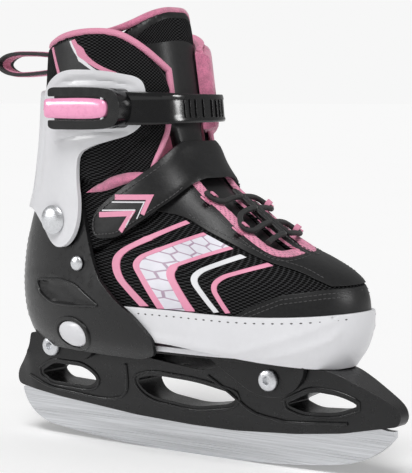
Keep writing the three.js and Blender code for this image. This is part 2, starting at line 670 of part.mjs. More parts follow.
function instepStrap() {
  const region = sideGrid([
    [-47, 128, 4], [-43, 123.5, 4], [-27, 125, 6], [-6, 137.5, 8], [9, 148, 6], [17, 159.5], [30, 163],
    [30, 180], [3, 178.5], [-2, 170, 6], [-9, 163, 8], [-38, 144, 6], [-46, 137, 5],
  ]);
  const band = wall(INSTEP_IN, INSTEP_OUT, 118, 190).intersect(everySide(region));
  return band.subtract(box(along(-60), INSTEP_HINGE.x, 0, WIDE, up(110), up(200)));
}
add('instep_strap', instepStrap(), 'blackLeather');

// ---------------------------------------------------------------- cuff
const CUFF_SIDE = [
  [-130, 207, 2], [-98, 207, 4], [-91, 203, 3], [-86, 197.5, 1], [-83, 206, 4], [-78, 212, 8],
  [-64, 218.5, 10], [-36, 218, 12], [-14, 214, 6], [-11, 206, 6], [-11, 189, 6], [-18, 182, 6],
  [-44, 175.5, 6], [-54, 171, 6],
  [-55, 156, 8], [-53, 142, 8], [-56, 127, 8], [-65, 117.5, 8], [-76, 117.5, 8], [-88, 131, 8],
  [-99, 138.5, 6], [-130, 138.5],
];

function cuff() {
  let solid = wall(CUFF_IN, CUFF_OUT, 114, 224).intersect(everySide(sideGrid(CUFF_SIDE)));
  solid = drill(solid, RIVET_R + GAP, PIVOT);
  BUCKLE_RIVETS.forEach((x) => {
    solid = solid.subtract(rodY(SCREW_R + GAP, x, STRAP_Z, -WIDE, 0));
  });
  solid = solid.subtract(rodY(SCREW_R + GAP, STRAP_SCREW_X, STRAP_Z, 0, WIDE));
  const slitY = across(16);
  const slitHalf = 1.3;
  SIDES.forEach(([, way]) => {
    const [y0, y1] = [way * slitY - slitHalf, way * slitY + slitHalf];
    solid = solid.subtract(box(along(-125), along(-90), y0, y1, up(147), up(169)));
  });
  return solid;
}
add('cuff', cuff(), 'whitePlastic');

// Ankle rivet through the cuff and the bush in the heel shell, with a flange inside.
SIDES.forEach(([name, way]) => {
  const outside = faceUnder(PIVOT, RIVET_HEAD_R, CUFF_OUT, way) + GAP;
  const inside = faceUnder(PIVOT, RIVET_R + 2, HEEL_IN, way, Math.min) - GAP;
  const reach = outside - inside;
  add(`ankle_rivet_${name}`, turnedY([
    [0, 0], [4, 0], [RIVET_HEAD_R - 1.5, 0.7], [RIVET_HEAD_R, 2], [RIVET_R, 2], [RIVET_R, 2 + reach],
    [RIVET_R + 2, 2 + reach], [RIVET_R + 2, 2 + reach + FLANGE], [0, 2 + reach + FLANGE],
  ], PIVOT.x, way * (outside + 2), PIVOT.z, -way, 20), 'silver');
  const bushEnd = faceUnder(PIVOT, BUSH_R, CUFF_IN, way, Math.min) - GAP;
  const length = bushEnd - inside;
  const ring = [[RIVET_R + GAP, 0], [BUSH_R, 0], [BUSH_R, length], [RIVET_R + GAP, length]];
  ring.push(ring[0]);
  add(`ankle_bush_${name}`, turnedY(ring, PIVOT.x, way * bushEnd, PIVOT.z, -way), 'greyPlastic');
});

function collar() {
  const region = sideGrid([
    [-130, 230], [-88, 231.5, 10], [-60, 239.5, 14], [-30, 239.5, 10], [-17, 233, 8], [-7, 223, 8],
    [-4, 212, 8], [-4, 192, 4], [-8, 191, 2], [-13, 179.5, 6], [-31, 160.5, 8], [-44, 153, 6],
    [-57, 156, 2], [-130, 156],
  ]);
  return wall(COLLAR_IN, COLLAR_OUT, 154, 242).intersect(everySide(region));
}
add('collar', collar(), 'blackMesh');

function tongueUpper() {
  const region = sideGrid([
    [-46, 252, 6], [-46, 205, 8], [-24, 186, 10], [-15, 166, 4], [-4, 162.5], [5.6, 165.2], [0, 178],
    [-8, 189], [-4, 192], [0, 205], [-5, 235], [-9, 247, 6], [-18, 252.5, 8],
  ]);
  const half = across(25);
  const foot = across(13.5);
  const facing = front(outline([
    [-foot, up(160)], [-foot, up(184), 8], [-half, up(194), 8], [-half, up(253), 14], [half, up(253), 14],
    [half, up(194), 8], [foot, up(184), 8], [foot, up(160)],
  ]), along(-60), along(20));
  const inner = layer(-2.2 - ANKLE_TONGUE, -3.6 - ANKLE_TONGUE);
  return wall(inner, layer(-2.2, -3.6), 158, 254).intersect(everySide(region)).intersect(facing);
}
add('tongue_upper', tongueUpper(), 'blackLeather');

function pullLoop() {
  const root = along(-95.5);
  const shape = outline([
    [root, up(228.4)], [along(-112), up(230.6), 12], [along(-139), up(231.2), 10], [along(-149), up(223), 9],
    [along(-139), up(214.4), 10], [along(-118), up(214.6), 12], [root, up(217)],
  ]);
  const w = WEBBING;
  const hole = outline([
    [root + 9, up(227.6) - w], [along(-112), up(230.6) - w, 12], [along(-139) + 0.4, up(231.2) - w, 9],
    [along(-149) + w, up(223), 8], [along(-139) + 0.4, up(214.4) + w, 9], [along(-118), up(214.6) + w, 12],
    [root + 9, up(218) + w],
  ]);
  const half = 7;
  const outside = loft(layer(COLLAR_OUT.sides + GAP, COLLAR_OUT.tip), 200, 250);
  return side(shape, -half, half).subtract(side(hole, -half - 1, half + 1)).subtract(outside);
}
add('pull_loop', pullLoop(), 'webbing');

// ---------------------------------------------------------------- ratchet buckle and ladder strap
const STRAP_LOW = STRAP_Z - STRAP_WIDTH / 2;
const STRAP_HIGH = STRAP_Z + STRAP_WIDTH / 2;
const LEVER_IN = faceAt(along(-53), STRAP_Z, LADDER_OUT) + RUN;
const LEVER_PIN_Y = -LEVER_IN - LEVER / 2;
const leverPinHole = () => {
  const profile = [[0, 0], [LEVER_PIN_R + GAP, 0], [LEVER_PIN_R + GAP, 40], [0, 40]];
  return turnedZ(profile, LEVER_PIN_X, LEVER_PIN_Y, STRAP_Z - 20);
};

function buckleBase() {
  const low = STRAP_LOW - BUCKLE_WALL;
  const high = STRAP_HIGH + BUCKLE_WALL;
  const shape = outline([
    [along(-70), low, 6], [along(-21), low, 6], [along(-21), high, 6], [along(-70), high, 6],
  ]);
  const seat = loft(layer(CUFF_OUT.sides + GAP, CUFF_OUT.tip + GAP), 170, 225);
  const bed = loft(layer(LADDER_IN.sides - GAP, LADDER_IN.tip - GAP), 170, 225);
  const channel = box(along(-66), along(5), -WIDE, -across(20), STRAP_LOW - RUN, STRAP_HIGH + RUN)
    .subtract(bed);
  let solid = side(shape, LEVER_PIN_Y - 2.4, -across(20)).subtract(seat).subtract(channel);
  solid = solid.subtract(box(along(-75), along(-65.9), -WIDE, -LEVER_IN + RUN, low - 1, high + 1));
  solid = solid.subtract(leverPinHole());
  BUCKLE_RIVETS.forEach((x) => {
    solid = solid.subtract(rodY(SCREW_R + GAP, x, STRAP_Z, -WIDE, 0));
  });
  return solid;
}
add('buckle_base', buckleBase(), 'blackPlastic');

const POCKET = { x0: along(-47), x1: along(-36), depth: 2.6, half: 5.6 };
function buckleLever() {
  const shape = new THREE.Shape();
  const y0 = -LEVER_IN;
  const y1 = -LEVER_IN - LEVER;
  shape.moveTo(along(-72.5), y0 - 1.2);
  shape.quadraticCurveTo(along(-69), y0 - 0.4, along(-64), y0);
  shape.lineTo(LEVER_PIN_X, y0);
  shape.absarc(LEVER_PIN_X, LEVER_PIN_Y, LEVER / 2, Math.PI / 2, -Math.PI / 2, true);
  shape.quadraticCurveTo(along(-52), y1 - 1.2, along(-72), y1 - 0.4);
  shape.closePath();
  let solid = plan(shape, STRAP_LOW + 0.4, STRAP_HIGH - 0.4);
  const ends = side(outline([
    [along(-73), STRAP_LOW + 0.2, 4], [along(-22), STRAP_LOW + 0.2, 6], [along(-22), STRAP_HIGH - 0.2, 6],
    [along(-73), STRAP_HIGH - 0.2, 4],
  ]), -WIDE, 0);
  solid = solid.intersect(ends);
  const { x0, x1, depth, half } = POCKET;
  solid = solid.subtract(box(x0, x1, y0 - depth, y0 + 1, STRAP_Z - half, STRAP_Z + half));
  return solid.subtract(leverPinHole());
}
add('buckle_lever', buckleLever(), 'pinkPlastic');

const pinLength = STRAP_WIDTH + 2 * BUCKLE_WALL - 0.6;
add('lever_pin', turnedZ([[0, 0], [LEVER_PIN_R, 0], [LEVER_PIN_R, pinLength], [0, pinLength]],
  LEVER_PIN_X, LEVER_PIN_Y, STRAP_Z - pinLength / 2), 'silver');

function bucklePawl() {
  const { x0, x1, depth, half } = POCKET;
  const teeth = outline([
    [x0 + GAP, -LEVER_IN - depth + GAP], [x1 - GAP, -LEVER_IN - depth + GAP], [x1 - GAP, -LEVER_IN - 0.8],
    [x1 - 3, -LEVER_IN], [x1 - 3.2, -LEVER_IN - 1], [x1 - 6, -LEVER_IN], [x1 - 6.2, -LEVER_IN - 1],
    [x0 + GAP, -LEVER_IN - 0.2],
  ]);
  return plan(teeth, STRAP_Z - half + GAP, STRAP_Z + half - GAP);
}
add('buckle_pawl', bucklePawl(), 'greyPlastic');

BUCKLE_RIVETS.forEach((x, i) => {
  const inside = faceAt(x, STRAP_Z, CUFF_IN) + GAP;
  const outside = faceAt(x, STRAP_Z, LADDER_IN) - 2 * GAP;
  add(`buckle_rivet_${['rear', 'front'][i]}`, rodY(SCREW_R, x, STRAP_Z, -outside, -inside, 14), 'silver');
});

function ladderStrap() {
  let solid = wall(LADDER_IN, LADDER_OUT, 186, 208);
  solid = solid.intersect(box(along(-58), along(60), -WIDE, WIDE, STRAP_LOW, STRAP_HIGH));
  const tail = STRAP_SCREW_X - STRAP_TRAVEL - 7;
  solid = solid.subtract(box(along(-140), tail, 0, WIDE, 0, up(260)));
  const slot = box(STRAP_SCREW_X - STRAP_TRAVEL - SCREW_R - RUN, STRAP_SCREW_X + SCREW_R + RUN, 0, WIDE,
    STRAP_Z - SCREW_R - RUN, STRAP_Z + SCREW_R + RUN);
  return solid.subtract(slot);
}
add('ladder_strap', ladderStrap(), 'blackPlastic');

function strapAnchor() {
  const shape = outline([
    [along(-43), STRAP_LOW - 1, 5], [along(-15), STRAP_LOW - 1, 5], [along(-15), STRAP_HIGH + 1, 5],
    [along(-43), STRAP_HIGH + 1, 5],
  ]);
  const above = layer(CUFF_OUT.sides + GAP, CUFF_OUT.tip + GAP);
  const below = layer(LADDER_IN.sides - GAP, LADDER_IN.tip - GAP);
  const pad = wall(above, below, 184, 210);
  return pad.intersect(side(shape, 0, WIDE)).subtract(rodY(SCREW_R + GAP, STRAP_SCREW_X, STRAP_Z, 0, WIDE));
}
add('strap_anchor', strapAnchor(), 'blackPlastic');

const strapScrew = { x: STRAP_SCREW_X, z: STRAP_Z };
const slotEnd = { x: STRAP_SCREW_X - STRAP_TRAVEL, z: STRAP_Z };
const screwOut = faceUnder(slotEnd, SCREW_HEAD_R, LADDER_OUT, 1) + GAP;
const screwIn = faceUnder(strapScrew, SCREW_R, CUFF_IN, 1) + GAP;
add('strap_screw', turnedY([
  [0, 0], [SCREW_HEAD_R - 1, 0], [SCREW_HEAD_R, 1], [SCREW_HEAD_R, 1.8], [SCREW_R, 1.8],
  [SCREW_R, 1.8 + screwOut - screwIn], [0, 1.8 + screwOut - screwIn],
], STRAP_SCREW_X, screwOut + 1.8, STRAP_Z, -1), 'silver');

// ---------------------------------------------------------------- lace
const LACE_LAYER = layer(0);
function surfaceZ(x, y) {
  let low = up(95);
  let high = up(200);
  for (let i = 0; i < 30; i += 1) {
    const middle = (low + high) / 2;
    if (faceAt(x, middle, LACE_LAYER, Math.sign(y) || 1) > Math.abs(y)) low = middle;
    else high = middle;
  }
  return low;
}

const RUNGS = [30, 40, 50, 59].map(along);
const LACE_EDGE = THROAT.half + 5;
const LACE_LIFT = LACE_R + 1.8;
function lace() {
  const points = [[along(20), -LACE_EDGE + 0.5], [along(24), -LACE_EDGE]];
  RUNGS.forEach((x, i) => {
    const way = i % 2 ? -1 : 1;
    const edge = LACE_EDGE - 3;
    [-1, -0.5, 0, 0.5, 1].forEach((share) => points.push([x, way * share * edge]));
    if (i < RUNGS.length - 1) points.push([(x + RUNGS[i + 1]) / 2, way * LACE_EDGE]);
  });
  const curve = new THREE.CatmullRomCurve3(points.map(([x, y]) => (
    new THREE.Vector3(x, y, surfaceZ(x, y) + LACE_LIFT))), false, 'centripetal');
  const section = new THREE.Shape();
  for (let k = 0; k < 8; k += 1) {
    const angle = (2 * Math.PI * k) / 8;
    const put = k ? 'lineTo' : 'moveTo';
    section[put](LACE_R * Math.cos(angle), LACE_R * Math.sin(angle));
  }
  section.closePath();
  return solidOf(new THREE.ExtrudeGeometry(section, { steps: 56, bevelEnabled: false, extrudePath: curve }));
}
add('lace', lace(), 'webbing');

const LACE_LOOPS = [
  ['lace_loop_lateral_upper', along(24), -1],
  ['lace_loop_lateral_lower', (RUNGS[1] + RUNGS[2]) / 2, -1],
  ['lace_loop_medial_upper', (RUNGS[0] + RUNGS[1]) / 2, 1],
  ['lace_loop_medial_lower', (RUNGS[2] + RUNGS[3]) / 2, 1],
];
function laceLoop(x, way) {
  const y = way * LACE_EDGE;
  const z = surfaceZ(x, y) + LACE_LIFT;
  const room = LACE_R + 2.8;
  const hoop = front(roundOutline(y, z, room + 1.1, room + 1.1), x - 1.6, x + 1.6);
  const hole = front(roundOutline(y, z, room, room), x - 4, x + 4);
  return hoop.subtract(hole).subtract(loft(layer(GAP), 80, 170));
}
LACE_LOOPS.forEach(([name, x, way]) => add(name, laceLoop(x, way), 'pinkFleece'));

// ---------------------------------------------------------------- size lock
const BUTTON_FACE = faceAt(BUTTON.x, BUTTON.z, HEEL_OUT);
const CAP_IN = -BUTTON_FACE + 3.4;
add('size_button', side(buttonOutline(0), -BUTTON_FACE - 2.2, CAP_IN, 12)
  .subtract(box(BUTTON.x - 20, BUTTON.x + 20, -WIDE, 0, 0, HEEL_FLOOR_TOP + RUN)), 'whitePlastic');

function buttonBezel() {
  const ring = side(buttonOutline(3), -BUTTON_FACE - 1.4, -BUTTON_FACE + 6, 12)
    .subtract(side(buttonOutline(RUN), -WIDE, 0, 12));
  return ring.subtract(loft(layer(HEEL_OUT.sides + GAP), 50, 120));
}
add('button_bezel', buttonBezel(), 'greyPlastic');

const LEG_OUT = RACK_INNER + 2.1;
const LEG_IN = LEG_OUT + 2.1;
function lockPawl() {
  const top = RACK_TOP + RUN;
  const plate = CAP_IN + GAP;
  const shape = outline([
    [plate, RACK_BASE + 0.4], [plate + 1.5, RACK_BASE + 0.4], [plate + 1.5, top], [LEG_OUT, top],
    [LEG_OUT, RACK_TOP - 0.6], [RACK_INNER + GAP, RACK_TOP - 1.2], [RACK_INNER + GAP, RACK_BASE + 1.2],
    [LEG_OUT, RACK_BASE + 0.6], [LEG_IN, RACK_BASE + 0.6], [LEG_IN, top + 2], [plate, top + 2],
  ]);
  const body = front(shape, BUTTON.x - 4, BUTTON.x + 4);
  const shoulders = box(BUTTON.x + 1.3, BUTTON.x + 6, -WIDE, LEG_OUT, 0, RACK_TOP + GAP)
    .add(box(BUTTON.x - 6, BUTTON.x - 1.3, -WIDE, LEG_OUT, 0, RACK_TOP + GAP));
  const kept = box(BUTTON.x - 6, BUTTON.x + 6, -WIDE, plate + 1.6, 0, RACK_TOP + 1);
  return body.subtract(shoulders.subtract(kept));
}
add('lock_pawl', lockPawl(), 'greyPlastic');

function buttonSpring() {
  const length = SPRING_POST - GAP - (LEG_IN + BUTTON_TRAVEL + RUN);
  const ring = [[1.4, 0], [2.4, 0], [2.4, length], [1.4, length], [1.4, 0]];
  return turnedY(ring, BUTTON.x, LEG_IN + BUTTON_TRAVEL + RUN, RACK_BASE + 2.4, 1, 14);
}
add('button_spring', buttonSpring(), 'silver');

export default skate;
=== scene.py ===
"""Adjustable ice skate for the right foot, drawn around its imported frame.

Lengths in the code are nominal millimetres; UNIT turns them into the frame's metres.
+X points to the toe, +Y to the inner side of the foot, +Z up. The blade rests on Z = 0.
"""

import bisect
import functools
import json
import math

import bmesh
import bpy
import numpy as np
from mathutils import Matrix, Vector, kdtree
from mathutils.geometry import delaunay_2d_cdt

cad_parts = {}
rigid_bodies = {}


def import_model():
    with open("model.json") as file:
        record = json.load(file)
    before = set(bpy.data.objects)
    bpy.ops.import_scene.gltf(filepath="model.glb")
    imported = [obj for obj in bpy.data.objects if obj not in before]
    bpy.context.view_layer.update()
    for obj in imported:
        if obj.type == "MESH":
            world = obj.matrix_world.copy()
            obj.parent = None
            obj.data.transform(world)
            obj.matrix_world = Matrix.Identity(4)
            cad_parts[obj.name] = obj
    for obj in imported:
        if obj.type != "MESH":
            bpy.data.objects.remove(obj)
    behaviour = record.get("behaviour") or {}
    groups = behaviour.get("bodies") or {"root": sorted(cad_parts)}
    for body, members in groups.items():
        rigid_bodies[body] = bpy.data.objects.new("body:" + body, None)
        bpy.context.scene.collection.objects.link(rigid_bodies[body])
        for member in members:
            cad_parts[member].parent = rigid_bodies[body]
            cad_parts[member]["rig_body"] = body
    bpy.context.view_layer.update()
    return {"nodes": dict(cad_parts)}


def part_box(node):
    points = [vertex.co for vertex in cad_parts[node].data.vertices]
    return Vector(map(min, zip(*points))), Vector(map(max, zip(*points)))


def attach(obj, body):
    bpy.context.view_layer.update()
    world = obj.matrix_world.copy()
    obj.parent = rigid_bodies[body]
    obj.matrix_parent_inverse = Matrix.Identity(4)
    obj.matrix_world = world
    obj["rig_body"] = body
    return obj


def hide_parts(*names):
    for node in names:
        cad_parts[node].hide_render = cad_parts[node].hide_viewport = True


bl_info = {
    "name": "Ice Skate",
    "version": (1, 0, 0),
    "blender": (4, 5, 0),
    "location": "View3D > Sidebar > Skate",
    "description": "Builds an adjustable ice skate piece by piece",
    "category": "Add Mesh",
}

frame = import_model()
BLADE_LENGTH = 261.0
UNIT = (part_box("blade")[1].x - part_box("blade")[0].x) / BLADE_LENGTH

# ------------------------------------------------------------------ boot form
# Horizontal sections: height, heel end, toe end, widest place, outer half-width, inner half-width.
SECTIONS = (
    (48, -101, 92, 20, 24, 23),
    (58, -107, 96, 22, 32.5, 31),
    (66, -112, 101, 25, 38, 36.5),
    (76, -116, 104.5, 27, 40.2, 38.8),
    (90, -118, 105.5, 27, 40.5, 39),
    (98, -118, 104, 24, 39.7, 38.2),
    (104, -117.6, 100.5, 20, 38.6, 37.2),
    (109, -117, 93.5, 14, 37.6, 36.2),
    (115, -116, 81, 6, 36.4, 35),
    (121, -114.6, 66, -2, 35.3, 34),
    (129, -112, 52, -14, 34, 33),
    (139, -108, 38, -27, 33, 32),
    (150, -103.5, 21, -39, 32.3, 31.3),
    (163, -100, 8.5, -46, 32, 31),
    (178, -97, 1, -50, 32, 31),
    (203, -94, -3, -53, 32.2, 31.2),
    (240, -90, -9, -55, 32.4, 31.4),
    (262, -88, -13, -56, 32.4, 31.4),
)
HEIGHTS = [row[0] for row in SECTIONS]
REAR_POWER = 2.2
TOE_LEAN = 6  # the toe leans to the inner side
MOST_LEAN = 2.5
AROUND = 38.0  # mean radius that turns an angle into a length along the skin
LATERAL, MEDIAL = -1, 1
SIDES = (LATERAL, MEDIAL)

# Layers from the foot outwards: growth at the sides, growth at the toe or shin.
SOCK = (-3.2, -3.4)
UPPER_IN = (-2.4, -2.4)
UPPER = (0.0, 0.0)
TOE_IN = (0.4, 0.4)
TOE_OUT = (2.6, 2.6)
HEEL_IN = (3.0, 3.0)
HEEL_OUT = (5.2, 5.2)
QUARTER_IN = (-1.4, -3.4)
QUARTER_OUT = (2.4, 0.0)
COLLAR_IN = (-1.5, -2.6)
COLLAR_OUT = (6.2, 1.4)
CUFF_IN = (6.7, 1.9)
CUFF_OUT = (9.1, 4.3)
INSTEP_IN = (3.3, 1.2)
INSTEP_OUT = (5.7, 3.6)
LADDER_IN = (11.2, 4.8)
LADDER_OUT = (13.2, 6.8)

# Named places: button in side view, strap height, throat half-width and its front end.
BUTTON = (-62.0, 67.8)
STRAP_Z = 196.7
THROAT_HALF = 14.5
THROAT_X = 67.0
LACE_EDGE = THROAT_HALF + 5


def grown(layer, by):
    return (layer[0] + by, layer[1] + by)


@functools.lru_cache(maxsize=None)
def section_row(z):
    """Cubic interpolation through SECTIONS: heel end, toe end, widest place and both half-widths."""
    i = min(max(bisect.bisect_right(HEIGHTS, z), 1), len(HEIGHTS) - 1)
    low, high = HEIGHTS[i - 1], HEIGHTS[i]
    before = i - 2 if i > 1 else i
    after = i + 1 if i + 1 < len(HEIGHTS) else i - 1
    half = (high - low) / 2
    pull = half / (low - HEIGHTS[before])
    push = half / (HEIGHTS[after] - high)
    t = (z - low) / (high - low)
    weights = (
        -pull * t**3 + 2 * pull * t**2 - pull * t,
        (1 + pull) * t**3 + (-1.5 - 2 * pull) * t**2 + (pull - 0.5) * t + 1,
        (-1 - push) * t**3 + (1.5 + push) * t**2 + 0.5 * t,
        push * t**3 - push * t**2,
    )
    rows = (SECTIONS[before], SECTIONS[i - 1], SECTIONS[i], SECTIONS[after])
    return tuple(sum(w * row[k] for w, row in zip(weights, rows)) for k in range(1, 6))


@functools.lru_cache(maxsize=None)
def shape_at(z):
    """The bare section at a height, its slope towards the toe and the power of its front half."""
    rear, tip, widest, outer, inner = section_row(z)
    slope = min(math.hypot(1, min(0.0, section_row(z + 1)[1] - tip)), MOST_LEAN)
    share = min(max((z - 110) / 60, 0), 1)
    return rear, tip, widest, outer, inner, slope, 2.3 + 0.5 * share


def section(z, layer):
    rear, tip, widest, outer, inner, slope, power = shape_at(round(z, 3))
    sides, front = layer
    return rear - sides, tip + front * slope, widest, outer + sides, inner + sides, power


def toe_lean(tip, forward):
    return TOE_LEAN * forward**2 * min(max((tip - 20) / 60, 0), 1)


def on_form(angle, z, layer):
    """Point of a layer: angle 0 at the toe or shin, pi at the heel, positive on the inner side."""
    rear, tip, widest, outer, inner, front_power = section(z, layer)
    c, s = math.cos(angle), math.sin(angle)
    power = front_power if c > 0 else REAR_POWER
    reach = tip - widest if c > 0 else widest - rear
    half = inner if s > 0 else outer
    forward = math.copysign(abs(c) ** (2 / power), c)
    y = half * math.copysign(abs(s) ** (2 / power), s)
    return Vector((widest + reach * forward, y + toe_lean(tip, max(0, forward)), z))


def angle_from_side(x, z, layer, way):
    """Angle of the place that side view shows at (x, z)."""
    rear, tip, widest, _, _, front_power = section(z, layer)
    ahead = x > widest
    reach = tip - widest if ahead else widest - rear
    power = front_power if ahead else REAR_POWER
    share = min(abs(x - widest) / reach, 1) ** (power / 2)
    angle = math.acos(share) if ahead else math.pi - math.acos(share)
    return way * angle


def angle_from_front(y, z, layer, behind=False):
    """Angle of the place that the view from the front, or from behind, shows at (y, z)."""
    _, tip, _, outer, inner, front_power = section(z, layer)
    power = REAR_POWER if behind else front_power
    shift = 0 if behind else toe_lean(tip, 1)
    across = y - shift
    half = inner if across > 0 else outer
    angle = math.asin(min(abs(across) / half, 1) ** (power / 2))
    if behind:
        angle = math.pi - angle
    return math.copysign(angle, across)


def top_height(x, y, layer=UPPER):
    """Height at which a layer is |y| wide at x, on the sloping top of the foot."""
    low, high = 95.0, 200.0
    way = MEDIAL if y > 0 else LATERAL
    for _ in range(24):
        middle = (low + high) / 2
        if way * on_form(angle_from_side(x, middle, layer, way), middle, layer).y > abs(y):
            low = middle
        else:
            high = middle
    return low


def on_side(x, z, layer, way=LATERAL):
    return on_form(angle_from_side(x, z, layer, way), z, layer)


# ------------------------------------------------------------------ outlines
STEP = 1.6  # usual length of an outline's edges
ELLIPSE_POINTS = 36


def rounded(points, step=STEP, closed=True):
    """Path through points, evenly divided; a third number rounds that corner."""
    corners = [Vector(point[:2]) for point in points]
    count = len(points)
    path = []
    for i, point in enumerate(points):
        here = corners[i]
        radius = point[2] if len(point) > 2 else 0
        ends = not closed and i in (0, count - 1)
        if not radius or ends:
            path.append(here)
            continue
        before, after = corners[i - 1] - here, corners[(i + 1) % count] - here
        start = here + before.normalized() * min(radius, before.length / 2)
        end = here + after.normalized() * min(radius, after.length / 2)
        pieces = max(3, round((start - end).length / step * 1.4))
        for k in range(pieces + 1):
            t = k / pieces
            path.append(start * (1 - t) ** 2 + here * 2 * t * (1 - t) + end * t**2)
    result = []
    for a, b in neighbours(path, closed):
        pieces = max(1, math.ceil((b - a).length / step - 0.2))
        result += [tuple(a.lerp(b, k / pieces)) for k in range(pieces)]
    if not closed:
        result.append(tuple(path[-1]))
    kept = [result[0]]
    for point in result[1:]:
        if math.dist(point, kept[-1]) > step * 0.12:
            kept.append(point)
    return kept


def neighbours(path, closed):
    """Pairs of points that follow each other."""
    following = path[1:] + path[:1] if closed else path[1:]
    return list(zip(path, following))


def ellipse(x, z, half_x, half_z):
    turns = [2 * math.pi * k / ELLIPSE_POINTS for k in range(ELLIPSE_POINTS)]
    return [(x + half_x * math.cos(a), z + half_z * math.sin(a)) for a in turns]


def inside(loop, points):
    x, y = points[:, 0], points[:, 1]
    hit = np.zeros(len(points), bool)
    for (x0, y0), (x1, y1) in neighbours(loop, True):
        if y0 != y1:
            crosses = (y0 > y) != (y1 > y)
            hit ^= crosses & (x < (x1 - x0) * (y - y0) / (y1 - y0) + x0)
    return hit


def flat_cells(loops, rings, spacing):
    """Even triangles inside the first loop and outside the others, with edges along the rings."""
    points = []
    edges = []
    for loop in [*loops, *rings]:
        start = len(points)
        points += [tuple(p) for p in loop]
        edges += [(start + i, start + (i + 1) % len(loop)) for i in range(len(loop))]
    border = np.array(points)
    near = kdtree.KDTree(len(border))
    for i, (x, y) in enumerate(border):
        near.insert((x, y, 0), i)
    near.balance()
    low, high = border.min(0), border.max(0)
    rows = np.arange(low[1], high[1], spacing * 0.866)
    grid = [
        (x + (spacing / 2 if i % 2 else 0), y)
        for i, y in enumerate(rows)
        for x in np.arange(low[0], high[0], spacing)
    ]
    grid = np.array(grid)
    keep = inside(loops[0], grid)
    for hole in loops[1:]:
        keep &= ~inside(hole, grid)
    points += [tuple(p) for p in grid[keep] if near.find((p[0], p[1], 0))[2] > spacing * 0.6]
    corners, _, faces, *_ = delaunay_2d_cdt([Vector(p) for p in points], edges, [], 0, 1e-4)
    corners = [tuple(c) for c in corners]
    flat = np.array(corners)
    centres = np.array([flat[list(face)].mean(0) for face in faces])
    keep = inside(loops[0], centres)
    for hole in loops[1:]:
        keep &= ~inside(hole, centres)
    return corners, [face for face, kept in zip(faces, keep) if kept], centres[keep]


# ------------------------------------------------------------------ domains on the boot form
def unrolled(angle, z, about):
    """Place on the unrolled skin: length from the toe line or the heel line, and height."""
    turn = angle if about == "toe" else angle - math.copysign(math.pi, angle)
    return (turn * AROUND, z)


def rolled(q, z, layer, about):
    angle = q / AROUND
    if about == "heel":
        angle += math.pi
    angle = (angle + math.pi) % (2 * math.pi) - math.pi
    return on_form(angle, z, layer)


def side_run(path, layer, about, way):
    """The part of a closed side-view path that lies on the form, as unrolled places."""
    on = []
    for x, z in path:
        rear, tip, *_ = section(z, layer)
        on.append(rear + 0.3 < x < tip - 0.3)
    if all(on):
        run = path
    else:
        start = next(i for i in range(len(path)) if on[i] and not on[i - 1])
        run = []
        i = start
        while on[i % len(path)]:
            run.append(path[i % len(path)])
            i += 1
    return [unrolled(angle_from_side(x, z, layer, way), z, about) for x, z in run]


def filled(path, step):
    """Adds places where neighbours are far apart."""
    result = []
    for a, b in neighbours([Vector(p) for p in path], True):
        pieces = max(1, round((b - a).length / step))
        result += [tuple(a.lerp(b, k / pieces)) for k in range(pieces)]
    return result


def wrapped(points, layer, about, medial=None):
    """Unrolled outline of a side-view outline that goes round the heel or the toe."""
    lateral_run = side_run(rounded(points), layer, about, LATERAL)
    medial_run = side_run(rounded(medial or points), layer, about, MEDIAL)
    return filled(lateral_run + medial_run[::-1], STEP)


def patch(points, layer, way=LATERAL, about="toe"):
    """Unrolled outline of a side-view outline that stays on one side."""
    return [unrolled(angle_from_side(x, z, layer, way), z, about) for x, z in rounded(points)]


def from_top(points, layer=UPPER):
    """Unrolled places of a plan-view path on top of the foot."""
    places = []
    for x, y in rounded(points, closed=False):
        z = top_height(x, y, layer)
        way = MEDIAL if y > 0 else LATERAL
        places.append(unrolled(angle_from_side(x, z, layer, way), z, "toe"))
    return places


def from_front(points, layer, step=STEP, behind=False):
    """Unrolled outline of a front-view or rear-view outline."""
    about = "heel" if behind else "toe"
    return [unrolled(angle_from_front(y, z, layer, behind), z, about) for y, z in rounded(points, step)]


# ------------------------------------------------------------------ pieces
SHARP = math.radians(35)
FINISH = "_finish"  # keeps these materials apart from the frame's own


def shown(name, mesh, materials, body, replaces=(), bevel=0.0, segments=2):
    """Object of a finished mesh, on its body, with its bevel and its materials."""
    piece = bpy.data.objects.new(name, mesh)
    bpy.context.scene.collection.objects.link(piece)
    for finish in materials:
        mesh.materials.append(bpy.data.materials[finish + FINISH])
    if bevel:
        rounding = piece.modifiers.new("rounding", "BEVEL")
        rounding.width = bevel * UNIT
        rounding.segments = segments
        rounding.limit_method = "ANGLE"
        rounding.angle_limit = SHARP
        rounding.harden_normals = True
        rounding.material = -1
    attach(piece, body)
    if replaces:
        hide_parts(*replaces)
    return piece


def closed_mesh(name, bm, sharp=SHARP):
    """Mesh of a closed bmesh in metres, faces outwards, smooth but for its sharp edges."""
    bmesh.ops.recalc_face_normals(bm, faces=bm.faces)
    for face in bm.faces:
        face.smooth = True
    for edge in bm.edges:
        if len(edge.link_faces) == 2 and edge.calc_face_angle(0) > sharp:
            edge.smooth = False
    bmesh.ops.scale(bm, vec=(UNIT, UNIT, UNIT), verts=bm.verts)
    mesh = bpy.data.meshes.new(name)
    bm.to_mesh(mesh)
    bm.free()
    return mesh


